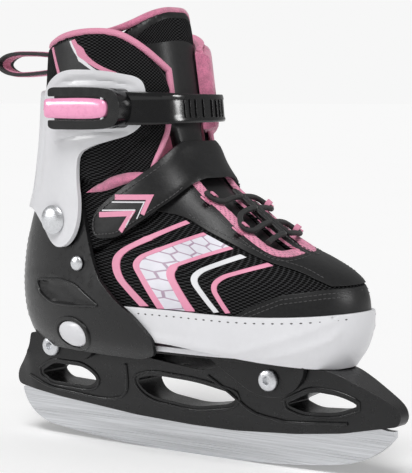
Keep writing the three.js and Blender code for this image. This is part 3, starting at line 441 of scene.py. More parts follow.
def walled(loops, rings, spacing, outside, within, zones=(), zone_of_rim=0, zone_of_lining=0):
    """Closed wall over an outline: outside and within give each place's outer and inner point."""
    corners, faces, centres = flat_cells(loops, rings, spacing)
    bm = bmesh.new()
    store_u = bm.verts.layers.float.new("u")
    store_v = bm.verts.layers.float.new("v")
    uv = bm.loops.layers.uv.new("skin")
    zone = np.zeros(len(centres), int)
    for loop, index in zones:
        zone[inside(loop, centres)] = index
    verts = []
    for u, v in corners:
        vert = bm.verts.new(outside(u, v))
        vert[store_u] = u
        vert[store_v] = v
        verts.append(vert)
    skin = []
    for face, index in zip(faces, zone):
        made = bm.faces.new([verts[i] for i in face])
        made.material_index = int(index)
        skin.append(made)
    bmesh.ops.delete(bm, geom=[v for v in bm.verts if not v.link_faces], context="VERTS")
    grown_skin = bmesh.ops.extrude_face_region(bm, geom=skin, use_keep_orig=True)["geom"]
    lining = {f for f in grown_skin if isinstance(f, bmesh.types.BMFace)}
    for vert in (v for v in grown_skin if isinstance(v, bmesh.types.BMVert)):
        vert.co = within(vert[store_u], vert[store_v])
    outer = set(skin)
    for face in bm.faces:
        if face in lining:
            face.material_index = zone_of_lining
        elif face not in outer:
            face.material_index = zone_of_rim
        for corner in face.loops:
            corner[uv].uv = (corner.vert[store_u] * UNIT, corner.vert[store_v] * UNIT)
    return bm


def swelling(loops, depth, run):
    """Function of a place: how far a soft edge sinks there, depth at the outline and 0 past run."""
    tree = loop_tree(loops)

    def sink(u, v):
        share = min(tree.find((u, v, 0))[2] / run, 1)
        return depth * (1 - math.sqrt(1 - (1 - share) ** 2))

    return sink


def panel(name, loops, inner, outer, about, materials, body, replaces=(), spacing=2.2,
          rings=(), zones=(), rim=0, lining=0, relief=None, soft=None, bevel=0.5, segments=2):
    """Shell piece that follows the boot form between two layers."""
    rings = [*rings, *(loop for loop, _ in zones)]
    sink = swelling(loops, *soft) if soft else None

    def outside(u, v):
        lift = relief(u, v) if relief else 0
        if sink:
            lift -= sink(u, v)
        return rolled(u, v, grown(outer, lift), about)

    def within(u, v):
        return rolled(u, v, inner, about)

    bm = walled(loops, rings, spacing, outside, within, zones, rim, lining)
    mesh = closed_mesh(name, bm)
    return shown(name, mesh, materials, body, replaces, bevel, segments)


def slab(loops, y0, y1, spacing=3.0, lift=None):
    """Closed bmesh of a side-view outline between two planes, or curved by lift(x, z) at y0."""
    def outside(x, z):
        return Vector((x, y0 + (lift(x, z) if lift else 0), z))

    def within(x, z):
        return Vector((x, y1, z))

    return walled(loops, (), spacing, outside, within)


def joined(*parts):
    """One bmesh of several."""
    whole = parts[0]
    for part in parts[1:]:
        mesh = bpy.data.meshes.new("part")
        part.to_mesh(mesh)
        part.free()
        whole.from_mesh(mesh)
        bpy.data.meshes.remove(mesh)
    return whole


def tube(name, paths, radius, finish, body, replaces=(), closed=False, sides=8):
    """Round-section pipes along paths of points, as one mesh; a fourth number scales the radius."""
    curve = bpy.data.curves.new(name, "CURVE")
    curve.dimensions = "3D"
    curve.bevel_depth = radius * UNIT
    curve.bevel_resolution = sides // 4
    curve.use_fill_caps = True
    for path in paths:
        spline = curve.splines.new("POLY")
        spline.points.add(len(path) - 1)
        spline.use_cyclic_u = closed
        for point, place in zip(spline.points, path):
            point.co = (place[0] * UNIT, place[1] * UNIT, place[2] * UNIT, 1)
            point.radius = place[3] if len(place) > 3 else 1
    holder = bpy.data.objects.new(name + "_path", curve)
    bpy.context.scene.collection.objects.link(holder)
    shaped = holder.evaluated_get(bpy.context.evaluated_depsgraph_get())
    mesh = bpy.data.meshes.new_from_object(shaped)
    mesh.name = name
    bpy.data.objects.remove(holder)
    bpy.data.curves.remove(curve)
    mesh.materials.clear()
    for polygon in mesh.polygons:
        polygon.use_smooth = True
        polygon.material_index = 0
    return shown(name, mesh, [finish], body, replaces)


def traced(points, layer, way=LATERAL):
    """Path on a layer through a side-view path."""
    return [on_side(x, z, layer, way) for x, z in rounded(points, closed=False)]


def traced_top(points, layer, step=STEP):
    """Path on a layer through a plan-view path on top of the foot."""
    path = []
    for x, y in rounded(points, step, False):
        z = top_height(x, y, layer)
        path.append(on_side(x, z, layer, MEDIAL if y > 0 else LATERAL))
    return path


def unrolled_path(places, layer, about="toe"):
    return [rolled(u, v, layer, about) for u, v in places]


def along_path(path, distance):
    """Point and direction at a distance along a path of points."""
    for a, b in zip(path, path[1:]):
        length = (b - a).length
        if distance <= length and length > 0:
            return a.lerp(b, distance / length), (b - a) / length
        distance -= length
    return path[-1], (path[-1] - path[-2]).normalized()


def stitch_row(path, pitch, stitch):
    """Short thread arcs along a path."""
    total = sum((b - a).length for a, b in zip(path, path[1:]))
    rows = []
    for k in range(int(total / pitch)):
        ends = [along_path(path, k * pitch + stitch * share)[0] for share in (0, 0.5, 1)]
        first, middle, last = ends
        rows.append([(*first, 0.55), (*middle, 1.0), (*last, 0.55)])
    return rows


# ------------------------------------------------------------------ finishes
class Finish:
    """A material under construction, with short calls for its nodes."""

    def __init__(self, name, roughness, metallic=0.0, **sockets):
        self.material = bpy.data.materials.new(name + FINISH)
        self.material.use_nodes = True
        self.tree = self.material.node_tree
        self.shader = self.tree.nodes["Principled BSDF"]
        self.shader.inputs["Roughness"].default_value = roughness
        self.shader.inputs["Metallic"].default_value = metallic
        for socket, value in sockets.items():
            self.shader.inputs[socket.replace("_", " ")].default_value = value

    def node(self, kind, values=(), **settings):
        made = self.tree.nodes.new(kind)
        for key, value in settings.items():
            setattr(made, key, value)
        for key, value in dict(values).items():
            if isinstance(value, bpy.types.NodeSocket):
                self.tree.links.new(value, made.inputs[key])
            else:
                made.inputs[key].default_value = value
        return made

    def place(self, skin=False, scale=(1, 1, 1)):
        """Object coordinates, or the piece's own unrolled skin, scaled per metre."""
        source = self.node("ShaderNodeUVMap", uv_map="skin") if skin else self.node("ShaderNodeTexCoord")
        output = source.outputs[0] if skin else source.outputs["Object"]
        return self.node("ShaderNodeMapping", {"Vector": output, "Scale": scale}).outputs[0]

    def noise(self, scale, detail=3.0, roughness=0.5, stretch=(1, 1, 1)):
        values = {"Vector": self.place(scale=stretch), "Scale": scale, "Detail": detail,
                  "Roughness": roughness}
        return self.node("ShaderNodeTexNoise", values).outputs[0]

    def cells(self, scale, feature="F1", skin=False):
        values = {"Vector": self.place(skin), "Scale": scale}
        return self.node("ShaderNodeTexVoronoi", values, feature=feature).outputs["Distance"]

    def math(self, operation, a, b=0.0, c=0.0):
        return self.node("ShaderNodeMath", {0: a, 1: b, 2: c}, operation=operation).outputs[0]

    def vector(self, operation, a, b=(0, 0, 0)):
        made = self.node("ShaderNodeVectorMath", {0: a, 1: b}, operation=operation)
        return made.outputs["Value"] if operation in ("LENGTH", "DOT_PRODUCT") else made.outputs[0]

    def span(self, value, low, high, to_low=0.0, to_high=1.0):
        """Value from low..high turned into to_low..to_high, smoothly and clamped."""
        values = {0: value, 1: low, 2: high, 3: to_low, 4: to_high}
        return self.node("ShaderNodeMapRange", values, interpolation_type="SMOOTHSTEP").outputs[0]

    def mix(self, share, first, second):
        values = {"Factor": share, 6: first, 7: second}
        return self.node("ShaderNodeMix", values, data_type="RGBA").outputs[2]

    def grid_dots(self, pitch_u, pitch_v, skin=True):
        """Distance, in pitches, to the nearest point of a staggered grid."""
        place = self.place(skin, (1 / pitch_u, 1 / pitch_v, 0))
        nearest = []
        for shift in ((0, 0, 0), (0.5, 0.5, 0)):
            cell = self.vector("FRACTION", self.vector("ADD", place, shift))
            offset = self.vector("MULTIPLY", self.vector("SUBTRACT", cell, (0.5, 0.5, 0)), (1, 1, 0))
            nearest.append(self.vector("LENGTH", offset))
        return self.math("MINIMUM", *nearest)

    def colour(self, output):
        self.tree.links.new(output, self.shader.inputs["Base Color"])

    def rough(self, output):
        self.tree.links.new(output, self.shader.inputs["Roughness"])

    def bump(self, height, depth_mm, strength=1.0):
        values = {"Height": height, "Distance": depth_mm * UNIT, "Strength": strength}
        bump = self.node("ShaderNodeBump", values)
        self.tree.links.new(bump.outputs[0], self.shader.inputs["Normal"])


def shade(colour, factor):
    return (*(min(c * factor, 1) for c in colour[:3]), 1)


def brushed_steel(colour):
    made = Finish("brushed_steel", 0.3, 1.0, Anisotropic=0.45)
    lines = made.noise(1.0, 4, 0.6, (22, 2400, 2400))
    bands = made.noise(1.0, 2, 0.5, (9, 160, 160))
    mixed = made.math("MULTIPLY_ADD", lines, 0.65, made.math("MULTIPLY", bands, 0.35))
    made.colour(made.mix(made.span(mixed, 0.3, 0.7), shade(colour, 0.72), shade(colour, 1.2)))
    made.rough(made.span(mixed, 0.3, 0.7, 0.22, 0.42))
    made.bump(lines, 0.02, 0.5)


def bright_metal(colour):
    made = Finish("bright_metal", 0.3, 1.0)
    smudge = made.noise(420, 3)
    scratch = made.noise(1.0, 2, 0.5, (300, 300, 4200))
    made.colour(made.mix(made.span(smudge, 0.35, 0.65), shade(colour, 0.94), shade(colour, 1.04)))
    made.rough(made.span(scratch, 0.3, 0.7, 0.24, 0.38))
    made.bump(scratch, 0.006, 0.3)


def moulded(name, colour, roughness, grain_mm=0.3, depth=0.02, coat=0.0, gloss=0.5, wear=0.02):
    """Injection-moulded plastic; wear is how far its tone drifts between handled and fresh places."""
    made = Finish(name, roughness, Coat_Weight=coat, Coat_Roughness=0.12, Specular_IOR_Level=gloss)
    cloudy = made.noise(60, 4, 0.6)
    grain = made.noise(1 / (grain_mm * UNIT), 2)
    scuff = made.noise(1.0, 4, 0.65, (240, 900, 240))
    tone = made.math("MULTIPLY_ADD", cloudy, 0.6, made.math("MULTIPLY", scuff, 0.4))
    made.colour(made.mix(made.span(tone, 0.3, 0.7), shade(colour, 1 - wear), shade(colour, 1 + wear)))
    made.rough(made.span(scuff, 0.3, 0.7, roughness * 0.85, roughness * 1.2))
    made.bump(grain, depth, 0.6)


def leather(name, colour, roughness=0.46):
    made = Finish(name, roughness, Specular_IOR_Level=0.28)
    pores = made.cells(1 / (0.85 * UNIT))
    creases = made.cells(1 / (2.6 * UNIT), "SMOOTH_F1")
    fine = made.noise(1 / (0.35 * UNIT), 3)
    height = made.math("MULTIPLY_ADD", pores, 0.6, made.math("MULTIPLY", creases, 0.5))
    height = made.math("MULTIPLY_ADD", fine, 0.25, height)
    made.colour(made.mix(made.span(height, 0.35, 0.95), shade(colour, 0.75), shade(colour, 1.35)))
    made.rough(made.span(fine, 0.3, 0.7, roughness * 0.88, roughness * 1.2))
    made.bump(height, 0.09, 0.55)


def air_mesh(name, thread, hole_shade, pitch=1.4):
    """Knitted spacer mesh: rows of oval holes between rounded threads; the holes get a near-black colour as
    painted shade.
    """
    made = Finish(name, 0.8, Specular_IOR_Level=0.06)
    dots = made.grid_dots(pitch * 1.6 * UNIT, pitch * 1.25 * UNIT)
    fibre = made.noise(1 / (0.16 * UNIT), 2)
    worn = made.noise(55, 3)
    hole = made.span(dots, 0.26, 0.37, 1, 0)
    lit = made.mix(made.span(fibre, 0.3, 0.7), shade(thread, 0.7), shade(thread, 1.4))
    lit = made.mix(made.span(worn, 0.4, 0.7, 0, 0.35), lit, shade(thread, 0.6))
    # the holes take the near-black painted shade colour, darker than the thread
    made.colour(made.mix(hole, lit, hole_shade))
    made.bump(made.math("MULTIPLY_ADD", fibre, 0.15, made.span(dots, 0.12, 0.5)), 0.4, 0.9)


def fleece(name, colour):
    made = Finish(name, 0.9, Sheen_Weight=0.5, Sheen_Roughness=0.6)
    nap = made.noise(1 / (0.7 * UNIT), 5, 0.7)
    clumps = made.noise(1 / (4 * UNIT), 3)
    tone = made.math("MULTIPLY_ADD", nap, 0.6, made.math("MULTIPLY", clumps, 0.4))
    made.colour(made.mix(made.span(tone, 0.34, 0.66), shade(colour, 0.68), shade(colour, 1.2)))
    made.bump(tone, 0.5, 0.8)


def woven(name, colour, pitch=0.7, contrast=0.55):
    """Plain weave tape or thread."""
    made = Finish(name, 0.7, Sheen_Weight=0.2, Sheen_Roughness=0.4)
    values = {"Vector": made.place(), "Scale": 0.5 / (pitch * UNIT), "Distortion": 0.6}
    across = made.node("ShaderNodeTexWave", values, bands_direction="DIAGONAL").outputs["Fac"]
    fibre = made.noise(1 / (0.18 * UNIT), 3)
    tone = made.math("MULTIPLY_ADD", across, 0.6, made.math("MULTIPLY", fibre, 0.4))
    made.colour(made.mix(made.span(tone, 0.2, 0.8), shade(colour, contrast), shade(colour, 1.15)))
    made.bump(tone, 0.14, 0.7)


def perforated(colour, hole_shade):
    """Padded tape with small pin holes, painted in a darker colour as shade."""
    made = Finish("perforated_band", 0.65, Sheen_Weight=0.2, Sheen_Roughness=0.5)
    dots = made.grid_dots(2.1 * UNIT, 2.1 * UNIT)
    fibre = made.noise(1 / (0.5 * UNIT), 4)
    base = made.mix(made.span(fibre, 0.3, 0.7), shade(colour, 0.78), shade(colour, 1.15))
    # the pin holes take the darker painted shade colour
    made.colour(made.mix(made.span(dots, 0.1, 0.17, 0.75, 0), base, hole_shade))
    made.bump(made.math("MULTIPLY_ADD", fibre, 0.3, made.span(dots, 0.08, 0.2)), 0.25, 0.7)


def hexagon_film(paper, line, size=5.8):
    """Printed film with a fine honeycomb."""
    made = Finish("hexagon_film", 0.35, Coat_Weight=0.25)
    place = made.place(True, (1 / (size * UNIT), 1 / (size * UNIT), 0))
    pitch = (1.0, math.sqrt(3), 1.0)
    half = (0.5, math.sqrt(3) / 2, 0)
    offsets = []
    for shift in ((0, 0, 0), half):
        moved = made.vector("ADD", place, shift)
        cell = made.vector("FRACTION", made.vector("DIVIDE", moved, pitch))
        centred = made.vector("SUBTRACT", made.vector("MULTIPLY", cell, pitch), half)
        offsets.append(made.vector("ABSOLUTE", made.vector("MULTIPLY", centred, (1, 1, 0))))
    reach = []
    for offset in offsets:
        leaning = made.vector("DOT_PRODUCT", offset, half)
        straight = made.vector("DOT_PRODUCT", offset, (1, 0, 0))
        reach.append(made.math("MAXIMUM", leaning, straight))
    edge = made.math("MINIMUM", *reach)
    tint = made.noise(120, 3)
    base = made.mix(made.span(tint, 0.35, 0.65), shade(paper, 0.94), paper)
    made.colour(made.mix(made.span(edge, 0.43, 0.465), base, line))
    made.bump(made.span(edge, 0.43, 0.48, 1, 0), 0.1, 0.5)


BLACK = (0.008, 0.008, 0.0085, 1)
WHITE = (0.80, 0.80, 0.825, 1)


def make_finishes(colours):
    pink = tuple(colours.piping)
    brushed_steel((0.62, 0.63, 0.65, 1))
    bright_metal((0.66, 0.67, 0.69, 1))
    moulded("black_plastic", BLACK, 0.3, 0.25, 0.02, gloss=0.36, wear=0.15)
    moulded("glossy_black", (0.004, 0.004, 0.0045, 1), 0.18, 0.6, 0.012, 0.2, 0.35)
    moulded("white_plastic", tuple(colours.shell), 0.36, 0.9, 0.02, 0.1)
    moulded("grey_plastic", (0.2, 0.2, 0.21, 1), 0.42)
    moulded("pink_plastic", tuple(colours.lever), 0.28, 0.8, 0.015, 0.35)
    moulded("white_film", WHITE, 0.4, 0.5)
    moulded("pink_film", pink, 0.45, 0.5, 0.03, wear=0.05)
    moulded("grey_film", (0.05, 0.05, 0.053, 1), 0.5, 0.5, 0.03)
    leather("black_leather", (0.009, 0.009, 0.0095, 1), 0.4)
    # the last colour is the painted shade inside the mesh holes
    air_mesh("black_mesh", (0.04, 0.04, 0.042, 1), (0.001, 0.001, 0.001, 1))
    fleece("pink_fleece", tuple(colours.fleece))
    woven("pink_binding", pink, 0.8, 0.72)
    woven("black_webbing", (0.006, 0.006, 0.0065, 1))
    woven("black_thread", (0.008, 0.008, 0.009, 1), 0.4)
    woven("grey_thread", (0.07, 0.068, 0.07, 1), 0.4)
    woven("black_foam", (0.03, 0.03, 0.032, 1), 1.6, 0.8)
    # the second colour is the painted shade inside the pin holes
    perforated(pink, shade(pink, 0.28))
    hexagon_film((0.78, 0.77, 0.84, 1), (0.42, 0.3, 0.4, 1))


# ------------------------------------------------------------------ more ways of shaping
RIDGE_STEP = 0.6
PLAN_POINTS = 72
PLATE_SPACING = 4.0


def swept(start, *stretches, steps=14):
    """Path of quadratic curves; each stretch is a control point and an end."""
    path = [Vector(start)]
    for control, end in stretches:
        a, b, c = path[-1], Vector(control), Vector(end)
        for k in range(1, steps + 1):
            t = k / steps
            path.append(a * (1 - t) ** 2 + b * 2 * t * (1 - t) + c * t**2)
    return [tuple(point) for point in path]


def loop_tree(loops):
    tree = kdtree.KDTree(sum(len(loop) for loop in loops))
    for i, (u, v) in enumerate(p for loop in loops for p in loop):
        tree.insert((u, v, 0), i)
    tree.balance()
    return tree


def sunk(loops, depth, run=1.6):
    """Function of a place: the surface drops by depth inside the loops."""
    tree = loop_tree(loops)

    def lift(u, v):
        here = np.array([[u, v]])
        if not any(inside(loop, here)[0] for loop in loops):
            return 0.0
        share = min(tree.find((u, v, 0))[2] / run, 1)
        return -depth * share * share * (3 - 2 * share)

    return lift


def ridged(paths, height, width):
    """Function of a place: a rounded ridge along each path."""
    tree = loop_tree([dense(path) for path in paths])

    def lift(u, v):
        share = tree.find((u, v, 0))[2] / width
        return height * (1 - share * share) ** 2 if share < 1 else 0.0

    return lift


def dense(path):
    result = []
    for a, b in neighbours([Vector(p) for p in path], False):
        pieces = max(1, round((b - a).length / RIDGE_STEP))
        result += [tuple(a.lerp(b, k / pieces)) for k in range(pieces)]
    return result


def open_run(points, layer, way, about="toe", least=0.0):
    """Unrolled places of an open side-view path, kept at least so far from the middle."""
    run = []
    for x, z in rounded(points, closed=False):
        angle = abs(angle_from_side(x, z, layer, way))
        if least:
            angle = max(angle, abs(angle_from_front(way * least, z, layer)))
        run.append(unrolled(way * angle, z, about))
    return run


def both_sides(points, layer, about="toe", least=0.0, medial=None):
    """Unrolled places of an open side-view path on the outer side, and on the inner side."""
    return [open_run(points, layer, LATERAL, about, least),
            open_run(medial or points, layer, MEDIAL, about, least)]


def band(path, width):
    """Closed outline of a strip along a flat path."""
    points = [Vector(p[:2]) for p in path]
    left, right = [], []
    for i, here in enumerate(points):
        along = (points[min(i + 1, len(points) - 1)] - points[max(i - 1, 0)]).normalized()
        off = Vector((-along.y, along.x)) * width / 2
        left.append(tuple(here + off))
        right.append(tuple(here - off))
    return left + right[::-1]


def mitred(points, width):
    """Closed outline of an even band along a path with sharp corners."""
    path = [Vector(p) for p in points]
    left, right = [], []
    for i, here in enumerate(path):
        before = (here - path[i - 1]).normalized() if i else (path[1] - here).normalized()
        after = (path[i + 1] - here).normalized() if i + 1 < len(path) else before
        off = Vector((-(before + after).y, (before + after).x)).normalized()
        off *= width / 2 / max(off.dot(Vector((-after.y, after.x))), 0.3)
        left.append(tuple(here + off))
        right.append(tuple(here - off))
    return left + right[::-1]


def strip(points, layer, width, way, about="toe"):
    """Unrolled outline of a strip along an open side-view path."""
    return band(open_run(points, layer, way, about), width)


def films(name, loops, layer, thickness, finish, body, about="toe"):
    """Thin sewn or printed pieces lying on a layer, as one mesh."""
    face = grown(layer, thickness)
    back = grown(layer, -0.3)
    parts = [walled([loop], (), 2.0, lambda u, v: rolled(u, v, face, about),
                    lambda u, v: rolled(u, v, back, about))
             for loop in loops]
    mesh = closed_mesh(name, joined(*parts))
    return shown(name, mesh, [finish], body, bevel=min(0.25, thickness * 0.5), segments=1)


def slab_piece(name, bm, finish, body, replaces=(), bevel=0.6, segments=3):
    return shown(name, closed_mesh(name, bm), [finish], body, replaces, bevel, segments)


def flat_plate(outline, z0, z1):
    """Closed bmesh of a plan-view outline between two heights."""
    return walled([outline], (), PLATE_SPACING, lambda x, y: Vector((x, y, z1)),
                  lambda x, y: Vector((x, y, z0)))


def form_plan(layer, z, x_low, x_high):
    """Plan outline of a layer at a height, cut square at both ends."""
    outline = []
    for k in range(PLAN_POINTS):
        point = on_form(2 * math.pi * (k + 0.5) / PLAN_POINTS - math.pi, z, layer)
        outline.append((min(max(point.x, x_low), x_high), point.y))
    kept = [outline[0]]
    for point in outline[1:]:
        if math.dist(point, kept[-1]) > 0.5:
            kept.append(point)
    return kept


def ribbon(name, path, sideways, half_width, thickness, finish, body, replaces=()):
    """Flat strap swept along a path: a four-cornered end face, extruded point by point."""
    side = Vector(sideways).normalized() * half_width
    bm = bmesh.new()

    def corners(i):
        along = (path[min(i + 1, len(path) - 1)] - path[max(i - 1, 0)]).normalized()
        off = along.cross(side).normalized() * thickness / 2
        return [path[i] - side - off, path[i] + side - off, path[i] + side + off, path[i] - side + off]

    face = bm.faces.new([bm.verts.new(corner) for corner in corners(0)])
    chain = list(face.verts)
    for i in range(1, len(path)):
        made = bmesh.ops.extrude_edge_only(bm, edges=[
            bm.edges.get((chain[k], chain[(k + 1) % 4])) for k in range(4)])["geom"]
        fresh = [v for v in made if isinstance(v, bmesh.types.BMVert)]
        following = [next(e.other_vert(vert) for e in vert.link_edges if e.other_vert(vert) in fresh)
                     for vert in chain]
        for vert, place in zip(following, corners(i)):
            vert.co = place
        chain = following
    bmesh.ops.contextual_create(bm, geom=chain)
    mesh = closed_mesh(name, bm)
    return shown(name, mesh, [finish], body, replaces, min(0.5, thickness * 0.35), 2)


def refined(node, finish, bevel):
    """Copy of a CAD node with merged corners and rounded edges, in its place."""
    source = frame["nodes"][node]
    bm = bmesh.new()
    bm.from_mesh(source.data)
    bmesh.ops.scale(bm, vec=(1 / UNIT,) * 3, verts=bm.verts)
    bmesh.ops.remove_doubles(bm, verts=bm.verts, dist=0.004)
    bmesh.ops.dissolve_limit(bm, angle_limit=math.radians(1), verts=bm.verts, edges=bm.edges)
    for face in bm.faces:
        face.material_index = 0
    mesh = closed_mesh(node + "_piece", bm)
    return shown(node + "_piece", mesh, [finish], source["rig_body"], [node], bevel)


# ------------------------------------------------------------------ sizes and colours
class SkateSizes(bpy.types.PropertyGroup):
    """Sizes that a user may change."""

    lace_radius: bpy.props.FloatProperty(
        name="Lace radius", description="Radius of the round lace", default=1.6 * UNIT,
        min=0.0008, max=0.0022, unit="LENGTH", precision=4)
    stitch_pitch: bpy.props.FloatProperty(
        name="Stitch pitch", description="Distance from one stitch to the next", default=2.6 * UNIT,
        min=0.0015, max=0.006, unit="LENGTH", precision=4)
    collar_softness: bpy.props.FloatProperty(
        name="Collar softness", description="How far the padded collar rounds off at its rim",
        default=2.8 * UNIT, min=0.001, max=0.004, unit="LENGTH", precision=4)


class SkateColours(bpy.types.PropertyGroup):
    """Colours that a user may change."""

    shell: bpy.props.FloatVectorProperty(
        name="Shell", description="Colour of the toe shell, cuff and button", size=4,
        subtype="COLOR", default=(0.80, 0.80, 0.825, 1), min=0, max=1)
    piping: bpy.props.FloatVectorProperty(
        name="Piping", description="Colour of the bindings, stripes and throat band", size=4,
        subtype="COLOR", default=(0.83, 0.305, 0.456, 1), min=0, max=1)
    lever: bpy.props.FloatVectorProperty(
        name="Lever", description="Colour of the buckle lever", size=4,
        subtype="COLOR", default=(1.0, 0.376, 0.61, 1), min=0, max=1)
    fleece: bpy.props.FloatVectorProperty(
        name="Lining", description="Colour of the fleece lining", size=4,
        subtype="COLOR", default=(0.68, 0.19, 0.33, 1), min=0, max=1)


def millimetres(length):
    return length / UNIT


# ------------------------------------------------------------------ blade and chassis
BLADE_TOP = ((-120, 27.5), (-96, 24), (-40, 19), (0, 17.4), (30, 17.4), (70, 20), (100, 23.5), (132, 31))
CHASSIS = (
    (-131.5, 29, 4), (-130.5, 37, 8), (-122, 45, 8), (-114, 52, 6), (-112, 63, 2), (-60.5, 63, 2),
    (-59.5, 58.4, 2), (-42, 58.4, 6), (-22, 55, 20), (20, 51, 12), (30, 58.4, 4), (87, 58.4, 4),
    (99, 57.5, 8), (120, 48, 8), (133, 41, 6), (135.6, 35, 3), (133, 30.5, 2),
)
WINDOWS = (
    ((-108, 39, 3), (-101, 34, 4), (-72, 33, 5), (-64, 38, 5), (-73, 45, 5), (-96, 45.5, 4)),
    ((-36, 41, 5), (-28, 32, 9), (4, 28.6, 9), (30, 33, 5), (36, 38.5, 4), (8, 43.6, 9), (-22, 45, 8)),
    ((67, 37, 3), (78, 33.5, 5), (98, 35, 5), (112, 40, 4), (101, 44.5, 5), (86, 46, 5)),
)
CHASSIS_WIDTHS = ((14, 5.2), (22, 5.8), (30, 8.5), (42, 12), (52, 16), (64, 16))
PLATE_LOBE = (
    (22, 61), (26, 57, 6), (40, 49, 8), (52, 42, 8), (68, 41, 8), (80, 47, 8), (85, 56, 4), (84, 61),
)
HEEL_LUG = ((-104, 65.5), (-104, 58, 3), (-97, 50, 6), (-70, 49.5, 6), (-62, 53, 4), (-60, 58), (-60, 65.5))
CHASSIS_RIBS = (
    ((18, 48.6), (33, 38, 8), (44, 29, 8), (66, 26.5), (104, 29.5)),
    ((-118, 36), (-104, 29.5, 8), (-60, 26, 8), (-44, 30, 8), (-40, 50)),
)
BLADE_HALF = 1.8
LEAST_HALF = 4.6  # thinnest half-width of the chassis
LUG_IN, LUG_OUT = 16.5, 20.5
PLATE_LOW, PLATE_HIGH = 59, 63


def chassis_half(x, z):
    """Half-width of the chassis: wider upwards, narrower towards the nose and the tail."""
    wide = np.interp(z, [row[0] for row in CHASSIS_WIDTHS], [row[1] for row in CHASSIS_WIDTHS])
    slim = np.interp(x, (-134, -116, 84, 116, 136), (0.6, 1, 1, 0.62, 0.42))
    return max(float(wide * slim), LEAST_HALF)


def chassis_face(way):
    return lambda x, z: Vector((x, way * chassis_half(x, z), z))


def blade_outline():
    edge = swept((-131, 26), ((-127, 11), (-109, 6.2)), ((-62, 0), (-12, 0)), ((0, 0), (12, 0)),
                 ((66, 0), (100, 6.4)), ((120, 11), (130, 24)))
    seat = [(x, z + 8) for x, z in BLADE_TOP[-2::-1]]
    return edge + [(130, 27.5), (126, 27.5)] + seat


def widened(loop, by):
    """Outline moved outwards, by the way its neighbours turn."""
    points = [Vector(p) for p in loop]
    centre = sum(points, Vector((0, 0))) / len(points)
    result = []
    for i, here in enumerate(points):
        along = (points[(i + 1) % len(points)] - points[i - 1]).normalized()
        off = Vector((along.y, -along.x))
        if off.dot(here - centre) < 0:
            off = -off
        result.append(tuple(here + off * by))
    return result


def make_blade():
    bm = slab([filled(blade_outline(), 5)], -BLADE_HALF, BLADE_HALF, 6.0)
    slab_piece("blade_piece", bm, "brushed_steel", "chassis", ["blade"], 0.25, 2)


def make_chassis():
    lower = [(x, z, 4) for x, z in BLADE_TOP[-2::-1]]
    outline = rounded([*CHASSIS, *lower], 2.2)
    windows = [rounded(window, 1.8) for window in WINDOWS]
    bm = walled([outline, *windows], (), 3.4, chassis_face(LATERAL), chassis_face(MEDIAL))
    slab_piece("chassis_piece", bm, "black_plastic", "chassis", ["blade_holder"], 1.3, 3)
    lips = [[(x, way * (chassis_half(x, z) + 0.05), z) for x, z in widened(window, 2.6)]
            for way in SIDES for window in windows]
    tube("chassis_lips", lips, 0.8, "black_plastic", "chassis", closed=True)
    ribs = [[(x, way * (chassis_half(x, z) + 0.1), z) for x, z in rounded(points, 1.8, False)]
            for way in SIDES for points in CHASSIS_RIBS]
    tube("chassis_ribs", ribs, 1.0, "black_plastic", "chassis")


def lugs(outline):
    """A mounting lug on each side of the chassis."""
    return [slab([rounded(outline, 2)], way * LUG_IN, way * LUG_OUT) for way in SIDES]


def make_sole_plate():
    outline = rounded([(-58, -21, 6), (84, -21, 12), (84, 21, 12), (-58, 21, 6)], 3)
    bm = joined(flat_plate(outline, PLATE_LOW, PLATE_HIGH), *lugs(PLATE_LOBE))
    slab_piece("sole_plate_piece", bm, "black_plastic", "chassis", ["sole_plate"], 0.8)


class SKATE_OT_finishes(bpy.types.Operator):
    """Makes every material of the skate"""

    bl_idname = "skate.finishes"
    bl_label = "Finishes"

    def execute(self, context):
        make_finishes(context.scene.skate_colours)
        return {"FINISHED"}


class SKATE_OT_blade(bpy.types.Operator):
    """Makes the steel blade, its windowed chassis and the sole plate"""

    bl_idname = "skate.blade"
    bl_label = "Blade and chassis"

    def execute(self, context):
        make_blade()
        make_chassis()
        make_sole_plate()
        return {"FINISHED"}


# ------------------------------------------------------------------ heel shell
HEEL_SIDE = (
    (-135, 151), (-57, 151, 3), (-51, 128, 8), (-46, 113, 8), (-40, 102, 6), (-27, 91, 8), (-11, 82, 8),
    (2, 70, 4), (0, 61, 4), (-12, 57.5, 4), (-135, 57.5),
)
HEEL_POCKET = (
    (-95, 97, 3), (-72, 99, 4), (-58, 97, 5), (-38, 86, 2), (-60, 84.5, 5), (-80, 84.5, 6), (-93, 90, 4),
)
FLOOR_LOW, FLOOR_HIGH = 63.3, 66.3  # shell floors, on top of the sole plate
SKIRT_LOW, SKIRT_HIGH = 57.6, 60


def button_ring(half_x, half_z):
    """Unrolled ellipse around the middle of the size button."""
    around = ellipse(*BUTTON, half_x, half_z)
    return [unrolled(angle_from_side(x, z, HEEL_OUT, LATERAL), z, "heel") for x, z in around]


